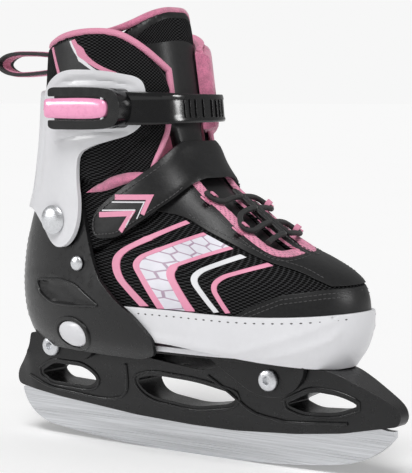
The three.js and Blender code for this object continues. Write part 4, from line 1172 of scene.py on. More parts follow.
def make_heel_shell():
    button_hole = button_ring(12.5, 8)
    pockets = [patch(HEEL_POCKET, HEEL_OUT, way, "heel") for way in SIDES]
    ridges = [[(q, z) for z in range(70, 124, 4)] for q in (-9, -3, 3, 9)]
    drop = sunk(pockets, 1.7)
    rise = ridged(ridges, 0.7, 1.9)
    skin = wrapped(HEEL_SIDE, HEEL_OUT, "heel")
    panel("heel_shell_piece", [skin, button_hole], HEEL_IN, HEEL_OUT, "heel", ["black_plastic"], "chassis",
          ["heel_shell"], rings=pockets, relief=lambda u, v: drop(u, v) + rise(u, v),
          bevel=0.6)
    tube("heel_pocket_rim", [unrolled_path(pocket, HEEL_OUT, "heel") for pocket in pockets], 0.8,
         "black_plastic", "chassis", closed=True)
    panel("button_bezel_piece", [button_ring(15.5, 10.4), button_hole], grown(HEEL_OUT, -1.2),
          grown(HEEL_OUT, 1.1), "heel", ["black_plastic"], "chassis", ["button_bezel"],
          spacing=1.6, bevel=0.5)
    cap = button_ring(12.1, 7.6)
    crown = swelling([cap], 2.4, 5.5)
    panel("size_button_piece", [cap], HEEL_IN, grown(HEEL_OUT, 2.6), "heel", ["white_plastic"],
          "size_button", ["size_button"], spacing=1.2,
          relief=lambda u, v: -crown(u, v), bevel=0.2)
    floor = flat_plate(form_plan(grown(HEEL_IN, 1), FLOOR_LOW, -130, -8), FLOOR_LOW, FLOOR_HIGH)
    skirt = flat_plate(form_plan(grown(HEEL_IN, 0.6), SKIRT_LOW, -105, -30), SKIRT_LOW, SKIRT_HIGH)
    slab_piece("heel_base", joined(floor, skirt, *lugs(HEEL_LUG)), "black_plastic", "chassis",
               bevel=0.8)


class SKATE_OT_heel_shell(bpy.types.Operator):
    """Makes the moulded heel shell"""

    bl_idname = "skate.heel_shell"
    bl_label = "Heel shell"

    def execute(self, context):
        make_heel_shell()
        return {"FINISHED"}


# ------------------------------------------------------------------ toe shell
TOE_SIDE = (
    (-45, 86.5), (-11, 87.2, 4), (20, 87.2, 20), (60, 86.4, 20), (90, 87.4, 10), (125, 90), (125, 57),
    (104, 57.4, 4), (90, 58, 20), (66, 61.5, 20), (40, 65, 20), (8, 68.4, 10), (-45, 68.4),
)
TOE_FLOWS = (
    ((52, 66), (70, 72, 14), (92, 80, 10), (101, 86)),
    ((66, 63), (84, 68, 14), (100, 75, 8), (103, 80)),
    ((-8, 72), (20, 70, 20), (52, 66)),
)
TOE_STITCHES = ((-10, 84), (20, 84.2, 20), (60, 83.4, 20), (90, 84.4, 10), (107, 86))


def make_toe_shell():
    flows = [open_run(path, TOE_OUT, way) for way in SIDES for path in TOE_FLOWS]
    skin = wrapped(TOE_SIDE, TOE_OUT, "toe")
    panel("toe_shell_piece", [skin], TOE_IN, TOE_OUT, "toe", ["white_plastic"], "toe_part",
          ["toe_shell"], spacing=1.9, relief=ridged(flows, 0.7, 2.6), bevel=0.6)
    floor = flat_plate(form_plan(grown(TOE_IN, 1), FLOOR_LOW, -7, 130), FLOOR_LOW, FLOOR_HIGH)
    slab_piece("toe_floor", floor, "white_plastic", "toe_part", bevel=0.4)
    dots = []
    for run in both_sides(TOE_STITCHES, TOE_OUT):
        dots += stitch_row(unrolled_path(run, grown(TOE_OUT, -0.1)), 5.0, 1.4)
    tube("toe_shell_stitches", dots, 0.42, "grey_thread", "toe_part", sides=4)


class SKATE_OT_toe_shell(bpy.types.Operator):
    """Makes the sliding toe shell with its floor and rim stitches"""

    bl_idname = "skate.toe_shell"
    bl_label = "Toe shell"

    def execute(self, context):
        make_toe_shell()
        return {"FINISHED"}


# ------------------------------------------------------------------ soft upper
QUARTER = (
    (-125, 76.6), (-71.5, 76.6), (-71.5, 111, 4), (-47, 117, 6), (-7, 137, 10), (8, 148), (-9, 160, 6),
    (-5, 188), (-12, 198), (-30, 184, 6), (-57, 160, 4), (-125, 152),
)
ANKLE_EDGE = ((-5.5, 194), (-5.5, 180, 8), (-10, 160))
CAP_EDGE = ((52, 86), (60, 91), (77, 98.5), (96, 101.5), (125, 103))
THROAT_TOP_X = 6.0
ANKLE_REACH = 17  # how close the quarter comes to the middle, over the tongue
CRESCENT = (
    (-53, 149), (-38, 157.5, 10), (-21, 161.8, 12), (-7, 161), (-7, 154), (-21, 156, 12), (-38, 150, 10),
)


def throat(edge_half, front_x, radius):
    """Unrolled U around the throat, from the outer side to the inner side."""
    return from_top(((THROAT_TOP_X, -edge_half), (front_x, -edge_half, radius),
                     (front_x, edge_half, radius), (THROAT_TOP_X, edge_half)))


def make_quarter():
    lateral, medial = both_sides(QUARTER, QUARTER_OUT, "heel", ANKLE_REACH)
    loop = filled(lateral + medial[::-1], STEP)
    piece = panel("ankle_quarter_piece", [loop], QUARTER_IN, QUARTER_OUT, "heel",
                  ["black_mesh", "pink_fleece"], "chassis", ["ankle_quarter"], lining=1,
                  soft=(1.4, 4), bevel=0.4)
    edge = grown(QUARTER_OUT, -0.3)
    paths = [unrolled_path(run, edge) for run in both_sides(ANKLE_EDGE, edge, least=ANKLE_REACH)]
    tube("ankle_piping", paths, 1.6, "pink_binding", "chassis", sides=12)
    parts = []
    for way in SIDES:
        loop = patch(CRESCENT, grown(QUARTER_OUT, 1.4), way)
        sink = swelling([loop], 2.2, 4.5)
        parts.append(walled([loop], (), 1.5,
                            lambda u, v, s=sink: rolled(u, v, grown(QUARTER_OUT, 2.6 - s(u, v)), "toe"),
                            lambda u, v: rolled(u, v, grown(QUARTER_OUT, -1.5), "toe")))
    mesh = closed_mesh("ankle_padding", joined(*parts), math.radians(80))
    piece = shown("ankle_padding", mesh, ["pink_fleece"], "chassis")


VAMP = (
    (103, 67), (8, 67, 2), (2, 76.8, 2), (-20, 76.8, 2), (-30, 80.2, 2), (-69, 80.2, 2), (-69, 110, 4),
    (-45, 115, 6), (-6, 134.5, 10), (7, 146),
)
EYESTAY = (
    (-9, 141), (12, 138, 6), (27, 130, 6), (42, 123.5, 6), (52, 119, 6), (65, 114.5, 6), (80, 110.5, 8),
    (92, 105), (96, 103),
)


def make_vamp():
    lateral, medial = both_sides(VAMP, UPPER)
    loop = filled(lateral + throat(THROAT_HALF, THROAT_X, 12) + medial[::-1], STEP)
    panel("vamp_piece", [loop], UPPER_IN, UPPER, "toe", ["black_mesh", "pink_fleece"], "toe_part",
          ["vamp"], lining=1, spacing=2.0)


def make_throat_band():
    outer = throat(LACE_EDGE - 0.4, THROAT_X + 4.6, 15)
    inner = throat(THROAT_HALF - 0.4, THROAT_X - 0.4, 12)
    loop = filled(outer + inner[::-1], 1.4)
    panel("throat_band", [loop], grown(UPPER, -0.8), grown(UPPER, 1.7), "toe", ["perforated_band"],
          "toe_part", spacing=1.4, soft=(1.0, 1.8), bevel=0.2)


def make_leather():
    lateral, medial = both_sides(EYESTAY, UPPER, least=1.5)
    loop = filled(lateral + medial[::-1] + throat(LACE_EDGE - 0.8, THROAT_X + 4.2, 15)[::-1], STEP)
    panel("eyestay", [loop], grown(UPPER, -0.5), grown(UPPER, 1.0), "toe", ["black_leather"], "toe_part",
          spacing=1.9, bevel=0.35)
    cap_side = ((52, 67.4), *CAP_EDGE, (125, 67.4))
    loop = wrapped(cap_side, grown(UPPER, 1.0), "toe")
    panel("toe_cap_piece", [loop], UPPER_IN, grown(UPPER, 0.35), "toe", ["black_leather"], "toe_part",
          ["toe_cap"], spacing=1.9, bevel=0.3)


LINE_1 = ((15, 135), (-25, 118, 6), (-31, 112, 5), (-28, 103, 6), (-7, 88))
CHEVRON = (
    (26, 129), (-12, 115, 4), (-16, 110, 4), (5, 87.5), (25, 87.5), (9, 106, 4), (11, 111, 4), (42, 122),
)
WHITE_LINE = ((50, 118), (28, 109, 5), (25, 104, 5), (42, 88))
LINE_4 = ((65, 114), (42, 106.5, 5), (38, 101, 5), (49, 88))


def make_graphics():
    hexagons, pinks, whites = [], [], []
    for way in SIDES:
        hexagons.append(patch(CHEVRON, UPPER, way))
        edges = (CHEVRON[:4], CHEVRON[4:])
        for points, width in ((LINE_1, 1.7), (LINE_4, 1.5), (edges[0], 1.3), (edges[1], 1.3)):
            pinks.append(strip(points, UPPER, width, way))
        whites.append(strip(WHITE_LINE, UPPER, 1.6, way))
    films("honeycomb_chevron", hexagons, UPPER, 0.35, "hexagon_film", "toe_part")
    films("pink_stripes", pinks, UPPER, 0.6, "pink_film", "toe_part")
    films("white_stripes", whites, UPPER, 0.5, "white_film", "toe_part")


EYESTAY_SEAM = (
    (14, 139), (27, 132.2, 6), (42, 125.6, 6), (52, 121.2, 6), (65, 116.6, 6), (80, 112.4, 8), (91, 107),
)


def make_upper_stitches(pitch):
    stitch = pitch * 0.72
    cap = grown(UPPER, 0.4)
    top = grown(UPPER, 1.05)
    rows = []
    for way in SIDES:
        for inset in (2.2, 4.6):
            points = [(x, z - inset) for x, z in CAP_EDGE[:-1]] + [(104, 102 - inset)]
            rows += stitch_row(unrolled_path(open_run(points, cap, way), cap), pitch, stitch)
        rows += stitch_row(unrolled_path(open_run(EYESTAY_SEAM, UPPER, way), top), pitch, stitch)
    around = throat(LACE_EDGE + 1.6, THROAT_X + 6.8, 17)
    rows += stitch_row(unrolled_path(around, top), pitch, stitch)
    tube("upper_stitches", rows, 0.3, "grey_thread", "toe_part", sides=4)


SOCK_SIDE = ((2, 74), (-20, 74), (-30, 76), (-69, 76), (-69, 120, 4), (-40, 126, 6), (-6, 145, 10), (4, 152))


def make_sock():
    """Stretch lining that shows where the toe part slides forward."""
    for name, loop in zip(("sock_lateral", "sock_medial"), both_sides(SOCK_SIDE, SOCK)):
        piece = panel(name, [filled(loop, 2)], grown(SOCK, -1.2), SOCK, "toe", ["black_mesh"], "chassis",
                      spacing=3, bevel=0.3)


class SKATE_OT_upper(bpy.types.Operator):
    """Makes the sewn upper: ankle quarter, vamp, leather overlays, stripes and stitches"""

    bl_idname = "skate.upper"
    bl_label = "Soft upper"

    def execute(self, context):
        make_sock()
        make_quarter()
        make_vamp()
        make_throat_band()
        make_leather()
        make_graphics()
        make_upper_stitches(millimetres(context.scene.skate_sizes.stitch_pitch))
        return {"FINISHED"}


# ------------------------------------------------------------------ tongue and lacing
RUNGS = (30, 40, 50, 59)
LACE_SPAN = 16.5
LACE_LIFT = 1.9  # height of the eyestay and the throat band under the lace
TONGUE_OUT = (-2.2, -3.6)
TONGUE_IN = (-8.6, -9.6)
TONGUE_FRONT = (
    (-29.5, 240, 8), (-15, 253, 16), (15, 253, 8), (21, 240, 8), (22, 194, 8), (13.5, 184, 6), (13.5, 161, 4),
    (-13.5, 161, 4), (-13.5, 184, 6), (-25, 194, 8),
)
TONGUE_MESH = (
    (-25, 232), (-25, 238.5, 6), (-13, 247.5, 12), (12, 247.5, 6), (17, 238, 6), (17.5, 232), (0, 235.5, 10),
)
TONGUE_EDGE = (
    (-27, 205), (-29, 226, 10), (-29.3, 239.5, 8), (-15, 251.6, 16), (14, 251.6, 8), (20, 240),
)
LOOP_PLACES = ((24, LATERAL, "lateral_upper"), (45, LATERAL, "lateral_lower"),
               (35, MEDIAL, "medial_upper"), (54.5, MEDIAL, "medial_lower"))


def make_tongue(softness):
    lower = from_top(((2, -16), (74, -16, 14), (74, 16, 14), (2, 16)), grown(UPPER, -2.8))
    loop = filled(lower, STEP)
    piece = panel("tongue_lower_piece", [loop], grown(UPPER, -5.2), grown(UPPER, -1.9), "toe",
                  ["black_leather"], "toe_part", ["tongue_lower"], soft=(1.2, 5), bevel=0.4)
    zones = [(from_front(TONGUE_MESH, TONGUE_OUT), 1)]
    piece = panel("tongue_upper_piece", [from_front(TONGUE_FRONT, TONGUE_OUT)], TONGUE_IN, TONGUE_OUT, "toe",
                  ["black_leather", "black_mesh", "black_webbing", "pink_fleece"], "cuff",
                  ["tongue_upper"], zones=zones, rim=2, lining=3, soft=(softness, 5), bevel=1.2, segments=3)
    middle = grown(TONGUE_OUT, -2.2)
    rim = [rolled(*unrolled(angle_from_front(y, z, middle), z, "toe"), middle, "toe")
           for y, z in rounded(TONGUE_EDGE, closed=False)]
    tube("tongue_piping", [rim], 2.1, "pink_fleece", "cuff", sides=12)


def make_lace(radius):
    way = LATERAL
    route = [(20, way * 19), (24, way * 19.5, 3)]
    for x in RUNGS:
        route += [(x, way * LACE_SPAN, 3), (x, -way * LACE_SPAN, 3), (x + 5, -way * LACE_EDGE, 3)]
        way = -way
    lace = traced_top(route[:-1], grown(UPPER, radius + LACE_LIFT), 1.1)
    tube("lace_piece", [lace], radius, "black_webbing", "toe_part", ["lace"], sides=12)


def make_loops(radius):
    for x, way, name in LOOP_PLACES:
        z = top_height(x, way * LACE_EDGE, grown(UPPER, radius + LACE_LIFT))
        middle = on_side(x, z, grown(UPPER, radius + LACE_LIFT), way)
        edge = traced_top(((x - 2, way * LACE_EDGE), (x + 2, way * LACE_EDGE)), UPPER)
        slope = (edge[-1] - edge[0]).normalized()
        out = Vector((0, way, 0.55)).normalized()
        up = slope.cross(out).normalized()
        if up.z < 0:
            up = -up
        ring = radius + 1.3
        path = []
        for k in range(25):
            turn = math.radians(-200 + 400 * k / 24)
            path.append(middle + out * (-math.cos(turn) * ring) + up * (math.sin(turn) * ring))
        tail = [middle + out * share - up * (ring + 0.2) for share in (5.5, 3.5, STEP)]
        ribbon("lace_loop_%s_piece" % name, tail + path[4:21], slope, 1.7, 0.9, "pink_binding", "toe_part",
               ["lace_loop_%s" % name])


class SKATE_OT_tongue(bpy.types.Operator):
    """Makes both tongue pieces"""

    bl_idname = "skate.tongue"
    bl_label = "Tongue"

    def execute(self, context):
        make_tongue(millimetres(context.scene.skate_sizes.collar_softness))
        return {"FINISHED"}


class SKATE_OT_lacing(bpy.types.Operator):
    """Makes the lace and its four webbing loops"""

    bl_idname = "skate.lacing"
    bl_label = "Lace and loops"

    def execute(self, context):
        radius = millimetres(context.scene.skate_sizes.lace_radius)
        make_lace(radius)
        make_loops(radius)
        return {"FINISHED"}


# ------------------------------------------------------------------ collar and pull loop
COLLAR = (
    (-130, 230), (-88, 231.5, 10), (-60, 239.5, 14), (-32, 239.5, 12), (-20, 233, 10), (-11, 223.5, 10),
    (-4, 210, 8), (-4, 190, 4), (-8, 189, 2), (-13, 179.5, 6), (-31, 160.5, 8), (-44, 153, 6), (-57, 156, 2),
    (-130, 156),
)
COLLAR_RIM = (
    (-97, 230), (-88, 231.5, 10), (-60, 239.5, 14), (-32, 239.5, 12), (-20, 233, 10), (-11, 223.5, 10),
    (-4, 210, 8), (-4, 189),
)
COLLAR_LEATHER = ((-77, 231, 2), (-69, 212), (-28, 212), (-32, 216), (-50, 225, 16), (-59, 236))
COLLAR_MEDIAL = (
    (-130, 230), (-88, 231.5, 10), (-60, 239.5, 14), (-30, 239.5, 10), (-17, 235, 10), (-8, 230, 10),
    (2, 214, 10), (2, 186), (-13, 178.5, 6), (-31, 160.5, 8), (-44, 153, 6), (-57, 156, 2), (-130, 156),
)
MEDIAL_RIM = (
    (-97, 230), (-88, 231.5, 10), (-60, 239.5, 14), (-30, 239.5, 10), (-17, 235, 10), (-8, 230, 10),
    (2, 214, 10), (2, 188),
)
COLLAR_REACH = 16  # how close both sides of the collar come to the middle, over the tongue
FOLDED_LINING = ((-34, 241), (-8, 238), (8, 228), (8, 184), (-16, 174), (-24, 188), (-23, 212), (-32, 231))
WHITE_SWEEP = swept((-60.5, 234.5), ((-54, 220), (-32, 213.5)), steps=9)
PINK_SWEEP = swept((-58.5, 235), ((-51.5, 222), (-29, 215.5)), steps=9)
PULL_LOOP = (
    (-95.5, 226.5), (-112, 228.8, 12), (-138, 229.2, 9), (-148, 222.7, 8), (-138, 216.3, 9),
    (-118, 216.6, 12), (-95.5, 219),
)
PULL_STRIPE = (
    (-97, 225.2), (-112, 227.6, 12), (-137.4, 228, 8), (-146.6, 222.7, 7), (-137.4, 217.5, 8),
    (-118, 217.8, 12), (-97, 220.2),
)
PULL_BACK = (
    (-97, 227.8), (-112, 230, 12), (-138.6, 230.4, 10), (-149.3, 222.7, 9), (-138.6, 215.1, 10),
    (-118, 215.4, 12), (-97, 217.7),
)


def make_collar(softness):
    skin = COLLAR_OUT
    zones = [(patch(COLLAR_LEATHER, skin, way, "heel"), 1) for way in SIDES]
    zones.append((patch(FOLDED_LINING, skin, MEDIAL, "heel"), 3))
    lateral, medial = both_sides(COLLAR, skin, "heel", COLLAR_REACH, COLLAR_MEDIAL)
    piece = panel("collar_piece", [filled(lateral + medial[::-1], STEP)], COLLAR_IN, skin, "heel",
                  ["black_mesh", "black_leather", "black_webbing", "pink_fleece"], "cuff",
                  ["collar"], zones=zones, rim=2, lining=3, soft=(softness, 5), bevel=1.3, segments=3,
                  relief=sunk([zones[-1][0]], -2.6, 9))
    for face in piece.data.polygons:
        if face.material_index == 2 and face.center.y > 10 * UNIT:
            face.material_index = 3
    edge = grown(skin, -2.3)
    lateral, medial = both_sides(COLLAR_RIM, edge, "heel", COLLAR_REACH, MEDIAL_RIM)
    tube("collar_piping", [unrolled_path(lateral[::-1] + medial, edge, "heel")], 2.0, "pink_binding", "cuff",
         sides=12)
    whites, pinks = [], []
    for way in SIDES:
        whites.append(strip(WHITE_SWEEP, skin, 1.4, way, "heel"))
        pinks.append(strip(PINK_SWEEP, skin, 2.4, way, "heel"))
        pinks.append(strip(((-77.5, 231), (-69, 212)), skin, 2.0, way, "heel"))
    films("collar_white_stripes", whites, skin, 0.35, "white_film", "cuff", "heel")
    films("collar_pink_stripes", pinks, skin, 0.45, "pink_binding", "cuff", "heel")


def make_pull_loop():
    for name, points, half_width, thickness, finish, slot, replaces in (
            ("pull_loop_piece", PULL_LOOP, 7, 1.8, "black_webbing", "black_webbing", ["pull_loop"]),
            ("pull_loop_stripe", PULL_STRIPE, 3.4, 0.7, "pink_binding", "pink_textile", ()),
            ("pull_loop_back", PULL_BACK, 3.4, 0.5, "pink_binding", "pink_textile", ())):
        path = [Vector((x, 0, z)) for x, z in rounded(points, 1.5, False)]
        ribbon(name, path, (0, 1, 0), half_width, thickness, finish, "cuff", replaces)


class SKATE_OT_collar(bpy.types.Operator):
    """Makes the padded collar and the webbing pull loop"""

    bl_idname = "skate.collar"
    bl_label = "Collar and pull loop"

    def execute(self, context):
        make_collar(millimetres(context.scene.skate_sizes.collar_softness))
        make_pull_loop()
        return {"FINISHED"}


# ------------------------------------------------------------------ cuff, buckle and straps
CUFF = (
    (-130, 207, 2), (-98, 207, 4), (-91, 203, 3), (-86, 197.5, 1), (-83, 206, 4), (-78, 212, 8),
    (-64, 218.5, 10), (-36, 218, 12), (-14, 214, 6), (-11, 206, 6), (-11, 189, 6), (-18, 182, 6),
    (-44, 175.5, 6), (-54, 171, 6), (-55, 156, 8), (-53, 142, 8), (-56, 127, 8), (-65, 117.5, 8),
    (-76, 117.5, 8), (-88, 131, 8), (-99, 138.5, 6), (-130, 138.5),
)
SLIT_Y, SLIT_HALF, SLIT_LOW, SLIT_HIGH = 24.5, 1.5, 147, 169
CUFF_GROOVES = (
    ((-74, 207.5), (-62, 212.6, 12), (-36, 212.4, 12), (-17, 209)),
    ((-74, 178), (-60, 180.6, 14), (-36, 184, 12), (-20, 184.6)),
    ((-92, 150), (-86, 172, 20), (-84, 188)),
)


def make_cuff():
    slits = []
    for way in SIDES:
        low, high = way * SLIT_Y - SLIT_HALF, way * SLIT_Y + SLIT_HALF
        corners = ((low, SLIT_LOW, 1), (high, SLIT_LOW, 1), (high, SLIT_HIGH, 1), (low, SLIT_HIGH, 1))
        slits.append(from_front(corners, CUFF_OUT, 1.2, True))
    grooves = [open_run(path, CUFF_OUT, way, "heel") for path in CUFF_GROOVES for way in SIDES]
    panel("cuff_piece", [wrapped(CUFF, CUFF_OUT, "heel"), *slits], CUFF_IN, CUFF_OUT, "heel",
          ["white_plastic"], "cuff", ["cuff"], spacing=1.7,
          relief=ridged(grooves, -0.7, 1.9), bevel=0.8, segments=3)


TOOTH_COUNT, TOOTH_PITCH, TOOTH_START = 8, 3.1, -9.5
TOOTH_LENGTH, TOOTH_HALF = 1.5, 5


def make_ladder_strap():
    low = angle_from_side(-58, STRAP_Z, LADDER_OUT, LATERAL) * AROUND
    high = angle_from_side(-41, STRAP_Z, LADDER_OUT, MEDIAL) * AROUND
    loop = rounded(((low, STRAP_Z - 8.6, 2), (low + 30, STRAP_Z - 9.4, 14), (0, STRAP_Z - 7.75, 20),
                    (high, STRAP_Z - 7.75, 2), (high, STRAP_Z + 7.75, 2), (0, STRAP_Z + 7.75, 20),
                    (low + 30, STRAP_Z + 9.4, 14), (low, STRAP_Z + 8.6, 2)), 1.8)
    edges = [rounded(((low + 2, STRAP_Z + way * 6.7), (low + 30, STRAP_Z + way * 7.6, 14),
                      (0, STRAP_Z + way * 6.1, 20), (high - 2, STRAP_Z + way * 6.1)), 1.8, False)
             for way in (-1, 1)]
    panel("ladder_strap_piece", [loop], LADDER_IN, LADDER_OUT, "toe", ["glossy_black"], "ladder_strap",
          ["ladder_strap"], spacing=1.7, relief=ridged(edges, 0.5, 1.2), bevel=0.5)
    teeth = []
    for k in range(TOOTH_COUNT):
        q = TOOTH_PITCH * k + TOOTH_START
        end = q + TOOTH_LENGTH
        bottom, top = STRAP_Z - TOOTH_HALF, STRAP_Z + TOOTH_HALF
        teeth.append([(q, bottom), (end, bottom), (end, top), (q, top)])
    films("ladder_teeth", [filled(tooth, 2.5) for tooth in teeth], LADDER_OUT, 0.8, "glossy_black",
          "ladder_strap")


INSTEP_LATERAL = (
    (-47, 128, 4), (-43, 123.5, 4), (-27, 125, 6), (-6, 137.5, 8), (9, 148, 6), (17, 159.5), (30, 163),
    (30, 180), (3, 178.5), (-2, 170, 6), (-9, 163, 8), (-38, 144, 6), (-46, 137, 5),
)
INSTEP_MEDIAL = (
    (-22, 128), (-6, 137.5, 8), (9, 148, 6), (17, 159.5), (30, 163), (30, 180), (3, 178.5), (-2, 170, 6),
    (-9, 163, 8), (-22, 154.3),
)
INSTEP_SEAM_LOW = ((-43, 126), (-27, 127.4, 6), (-7, 139.2, 8), (7, 149, 6), (11, 155))
INSTEP_SEAM_HIGH = ((-44, 136), (-37, 141.6, 6), (-8, 160.4, 8), (-1, 167, 6))
PINK_CHEVRONS = (((-29, 147.4), (-6, 148), (-9.6, 138.4)), ((-40, 137.2), (-17, 138.8), (-24, 128.6)))
WHITE_CHEVRONS = (((-31, 144.6), (-9.2, 145.2), (-13, 135.8)), ((-38, 139.7), (-15, 140.7), (-20.6, 131)))


def make_instep_strap(pitch):
    loop = wrapped(INSTEP_LATERAL, INSTEP_OUT, "toe", medial=INSTEP_MEDIAL)
    piece = panel("instep_strap_piece", [loop], INSTEP_IN, INSTEP_OUT, "toe", ["black_leather"],
                  "instep_strap", ["instep_strap"], spacing=1.9, soft=(0.9, 3), bevel=0.4)
    stitch = pitch * 0.7
    rows = []
    for points in (INSTEP_SEAM_LOW, INSTEP_SEAM_HIGH):
        rows += stitch_row(traced(points, INSTEP_OUT), pitch, stitch)
        inner = [point for point in points if point[0] > -22]
        rows += stitch_row(traced(inner, INSTEP_OUT, MEDIAL), pitch, stitch)
    rows += stitch_row(traced(((-43, 126), (-45.4, 130, 3), (-44, 136)), INSTEP_OUT), pitch, stitch)
    tube("instep_stitches", rows, 0.36, "grey_thread", "instep_strap", sides=4)
    pinks = [patch(mitred(row, 3.0), INSTEP_OUT) for row in PINK_CHEVRONS]
    whites = [patch(mitred(row, 0.8), INSTEP_OUT) for row in WHITE_CHEVRONS]
    films("instep_pink_stripes", pinks, INSTEP_OUT, 0.3, "pink_film", "instep_strap")
    films("instep_white_stripe", whites, INSTEP_OUT, 0.3, "white_film", "instep_strap")


class SKATE_OT_cuff(bpy.types.Operator):
    """Makes the pivoting cuff"""

    bl_idname = "skate.cuff"
    bl_label = "Cuff"

    def execute(self, context):
        make_cuff()
        return {"FINISHED"}


class SKATE_OT_straps(bpy.types.Operator):
    """Makes the toothed ankle strap and the instep strap"""

    bl_idname = "skate.straps"
    bl_label = "Straps"

    def execute(self, context):
        make_ladder_strap()
        make_instep_strap(millimetres(context.scene.skate_sizes.stitch_pitch))
        return {"FINISHED"}


# ------------------------------------------------------------------ hardware
METAL_NODES = (
    "blade_pin_rear", "blade_pin_middle", "blade_pin_front", "rear_bolt", "rear_washer", "rear_nut",
    "front_bolt", "front_washer", "front_nut", "plate_screw_rear", "plate_screw_front",
    "shell_rivet_lateral", "shell_rivet_medial", "ankle_rivet_lateral", "ankle_rivet_medial", "lever_pin",
    "buckle_rivet_rear", "buckle_rivet_front", "strap_screw", "button_spring",
)
PLASTIC_NODES = (
    ("strap_anchor", "glossy_black", 0.5), ("buckle_pawl", "grey_plastic", 0.2),
    ("lock_pawl", "grey_plastic", 0.2), ("slide_rack", "black_plastic", 0.2),
    ("ankle_bush_lateral", "grey_plastic", 0.2), ("ankle_bush_medial", "grey_plastic", 0.2),
)


BUCKLE_FRAME = (
    (-67, 11.8, 6), (-32, 11.8, 14), (-15.5, 9.5, 9), (-15.5, -9.5, 9), (-32, -11.8, 14), (-67, -11.8, 6),
    (-67, -6.6, 1), (-32, -6.8, 5), (-23.4, -5, 4), (-23.4, 5, 4), (-32, 6.8, 5), (-67, 6.6, 1),
)
BUCKLE_PLATE = ((-66, 11, 5), (-19, 11, 5), (-19, -11, 5), (-66, -11, 5))
LEVER = ((-70, 5.4, 3), (-38, 6, 14), (-24.6, 4.6, 5), (-24.6, -4.6, 5), (-38, -6, 14), (-70, -5.4, 3))
BUCKLE_FACE = -50.9
BUCKLE_PLATE_FACE = -46.4
LEVER_FACE, LEVER_BACK = -52.4, -46.8


def at_strap(points):
    return rounded([(point[0], point[1] + STRAP_Z, *point[2:]) for point in points], 1.4)


def make_buckle():
    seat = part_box("buckle_base")[1].y / UNIT
    frame_part = slab([at_strap(BUCKLE_FRAME)], BUCKLE_FACE, seat, 1.8)
    plate = slab([at_strap(BUCKLE_PLATE)], BUCKLE_PLATE_FACE, seat + 0.2, 3)
    slab_piece("buckle_base_piece", joined(frame_part, plate), "glossy_black", "cuff",
               ["buckle_base"], 0.9, 3)
    lever = at_strap(LEVER)
    crown = swelling([lever], 1.6, 4.5)
    bm = slab([lever], LEVER_FACE, LEVER_BACK, 1.2, lift=crown)
    slab_piece("buckle_lever_piece", bm, "pink_plastic", "buckle_lever", ["buckle_lever"],
               0.4)


class SKATE_OT_hardware(bpy.types.Operator):
    """Makes the buckle and finishes the bolts, screws, rivets and inner pieces"""

    bl_idname = "skate.hardware"
    bl_label = "Buckle and fasteners"

    def execute(self, context):
        make_buckle()
        for node in METAL_NODES:
            refined(node, "bright_metal", 0.3)
        for node, finish, bevel in PLASTIC_NODES:
            refined(node, finish, bevel)
        refined("insole", "pink_fleece", 1.0)
        refined("toe_board", "black_foam", 0.4)
        return {"FINISHED"}


# ------------------------------------------------------------------ stage
TARGET = Vector((6, 0, 124.6))
AZIMUTH, ELEVATION = math.radians(36), math.radians(4.5)
DISTANCE, LENS = 985.0, 133.0


def area_light(name, place, aim, size, power):
    """Soft box that only adds gloss, so the pale parts keep their shape."""
    data = bpy.data.lights.new(name, "AREA")
    data.shape = "DISK"
    data.size = size
    data.energy = power
    light = bpy.data.objects.new(name, data)
    light.location = place
    light.rotation_euler = (Vector(aim) - Vector(place)).to_track_quat("-Z", "Y").to_euler()
    light.visible_diffuse = False
    bpy.context.scene.collection.objects.link(light)


def make_stage():
    bm = bmesh.new()
    bmesh.ops.create_grid(bm, x_segments=4, y_segments=4, size=60)
    mesh = bpy.data.meshes.new("floor")
    bm.to_mesh(mesh)
    bm.free()
    floor = bpy.data.objects.new("floor", mesh)
    bpy.context.scene.collection.objects.link(floor)
    pale = Finish("pale_floor", 0.9, Specular_IOR_Level=0.0, Emission_Strength=0.12)
    pale.shader.inputs["Emission Color"].default_value = (1, 1, 1, 1)
    cloudy = pale.noise(3, 2)
    pale.colour(pale.mix(cloudy, (0.97, 0.97, 0.97, 1), (0.99, 0.99, 0.99, 1)))
    mesh.materials.append(pale.material)
    world = bpy.data.worlds.new("studio")
    world.use_nodes = True
    nodes, links = world.node_tree.nodes, world.node_tree.links
    soft = nodes["Background"]
    soft.inputs["Strength"].default_value = 0.38
    soft.inputs["Color"].default_value = (1, 1, 1, 1)
    seen = nodes.new("ShaderNodeBackground")
    seen.inputs["Color"].default_value = (0.93, 0.93, 0.93, 1)
    rays = nodes.new("ShaderNodeLightPath")
    both = nodes.new("ShaderNodeMixShader")
    links.new(rays.outputs["Is Camera Ray"], both.inputs[0])
    links.new(soft.outputs[0], both.inputs[1])
    links.new(seen.outputs[0], both.inputs[2])
    links.new(both.outputs[0], nodes["World Output"].inputs["Surface"])
    bpy.context.scene.world = world
    sun = bpy.data.lights.new("key", "SUN")
    sun.energy = 1.75
    sun.angle = math.radians(28)
    key = bpy.data.objects.new("key", sun)
    key.rotation_euler = Vector((0.25, -0.62, 1)).to_track_quat("Z", "Y").to_euler()
    bpy.context.scene.collection.objects.link(key)
    middle = (0, 0, 0.12)
    area_light("edge_right", (1.1, 0.3, 0.5), middle, 0.3, 5)
    area_light("edge_left", (-0.9, -0.9, 0.5), middle, 0.3, 6)
    area_light("top", (0.3, -0.7, 1.3), middle, 0.4, 5)
    bpy.context.scene.view_settings.view_transform = "Standard"


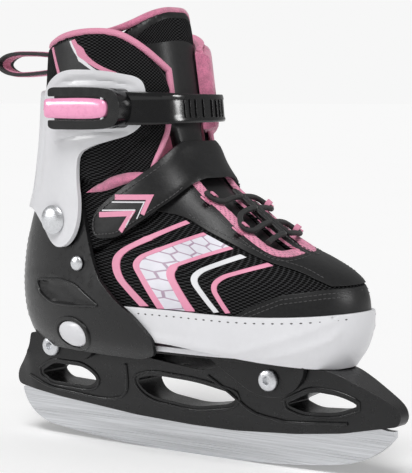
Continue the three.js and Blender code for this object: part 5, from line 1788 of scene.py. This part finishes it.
def make_camera():
    back = Vector((math.sin(AZIMUTH) * math.cos(ELEVATION), -math.cos(AZIMUTH) * math.cos(ELEVATION),
                   math.sin(ELEVATION)))
    data = bpy.data.cameras.new("camera")
    data.lens = LENS
    data.sensor_width = 36
    camera = bpy.data.objects.new("camera", data)
    camera.location = (TARGET + back * DISTANCE) * UNIT
    camera.rotation_euler = back.to_track_quat("Z", "Y").to_euler()
    bpy.context.scene.collection.objects.link(camera)
    bpy.context.scene.camera = camera


class SKATE_OT_stage(bpy.types.Operator):
    """Makes the floor, the studio light and the camera"""

    bl_idname = "skate.stage"
    bl_label = "Stage"

    def execute(self, context):
        make_stage()
        make_camera()
        return {"FINISHED"}


OPERATORS = (
    SKATE_OT_finishes, SKATE_OT_stage, SKATE_OT_blade, SKATE_OT_heel_shell, SKATE_OT_toe_shell,
    SKATE_OT_upper, SKATE_OT_tongue, SKATE_OT_lacing, SKATE_OT_collar, SKATE_OT_cuff, SKATE_OT_straps,
    SKATE_OT_hardware,
)


class SKATE_PT_panel(bpy.types.Panel):
    """Lists the skate's pieces, sizes and colours"""

    bl_idname = "SKATE_PT_panel"
    bl_label = "Ice Skate"
    bl_space_type = "VIEW_3D"
    bl_region_type = "UI"
    bl_category = "Skate"

    def draw(self, context):
        for operator in OPERATORS:
            self.layout.operator(operator.bl_idname)
        for group in (context.scene.skate_sizes, context.scene.skate_colours):
            for name in group.__annotations__:
                self.layout.prop(group, name)


def register():
    for made in (SkateSizes, SkateColours, *OPERATORS, SKATE_PT_panel):
        bpy.utils.register_class(made)
    bpy.types.Scene.skate_sizes = bpy.props.PointerProperty(type=SkateSizes)
    bpy.types.Scene.skate_colours = bpy.props.PointerProperty(type=SkateColours)


def unregister():
    del bpy.types.Scene.skate_colours
    del bpy.types.Scene.skate_sizes
    for made in (SKATE_PT_panel, *reversed(OPERATORS), SkateColours, SkateSizes):
        bpy.utils.unregister_class(made)


def main():
    register()
    for operator in OPERATORS:
        group, name = operator.bl_idname.split(".")
        getattr(getattr(bpy.ops, group), name)()


if __name__ == "__main__":
    main()
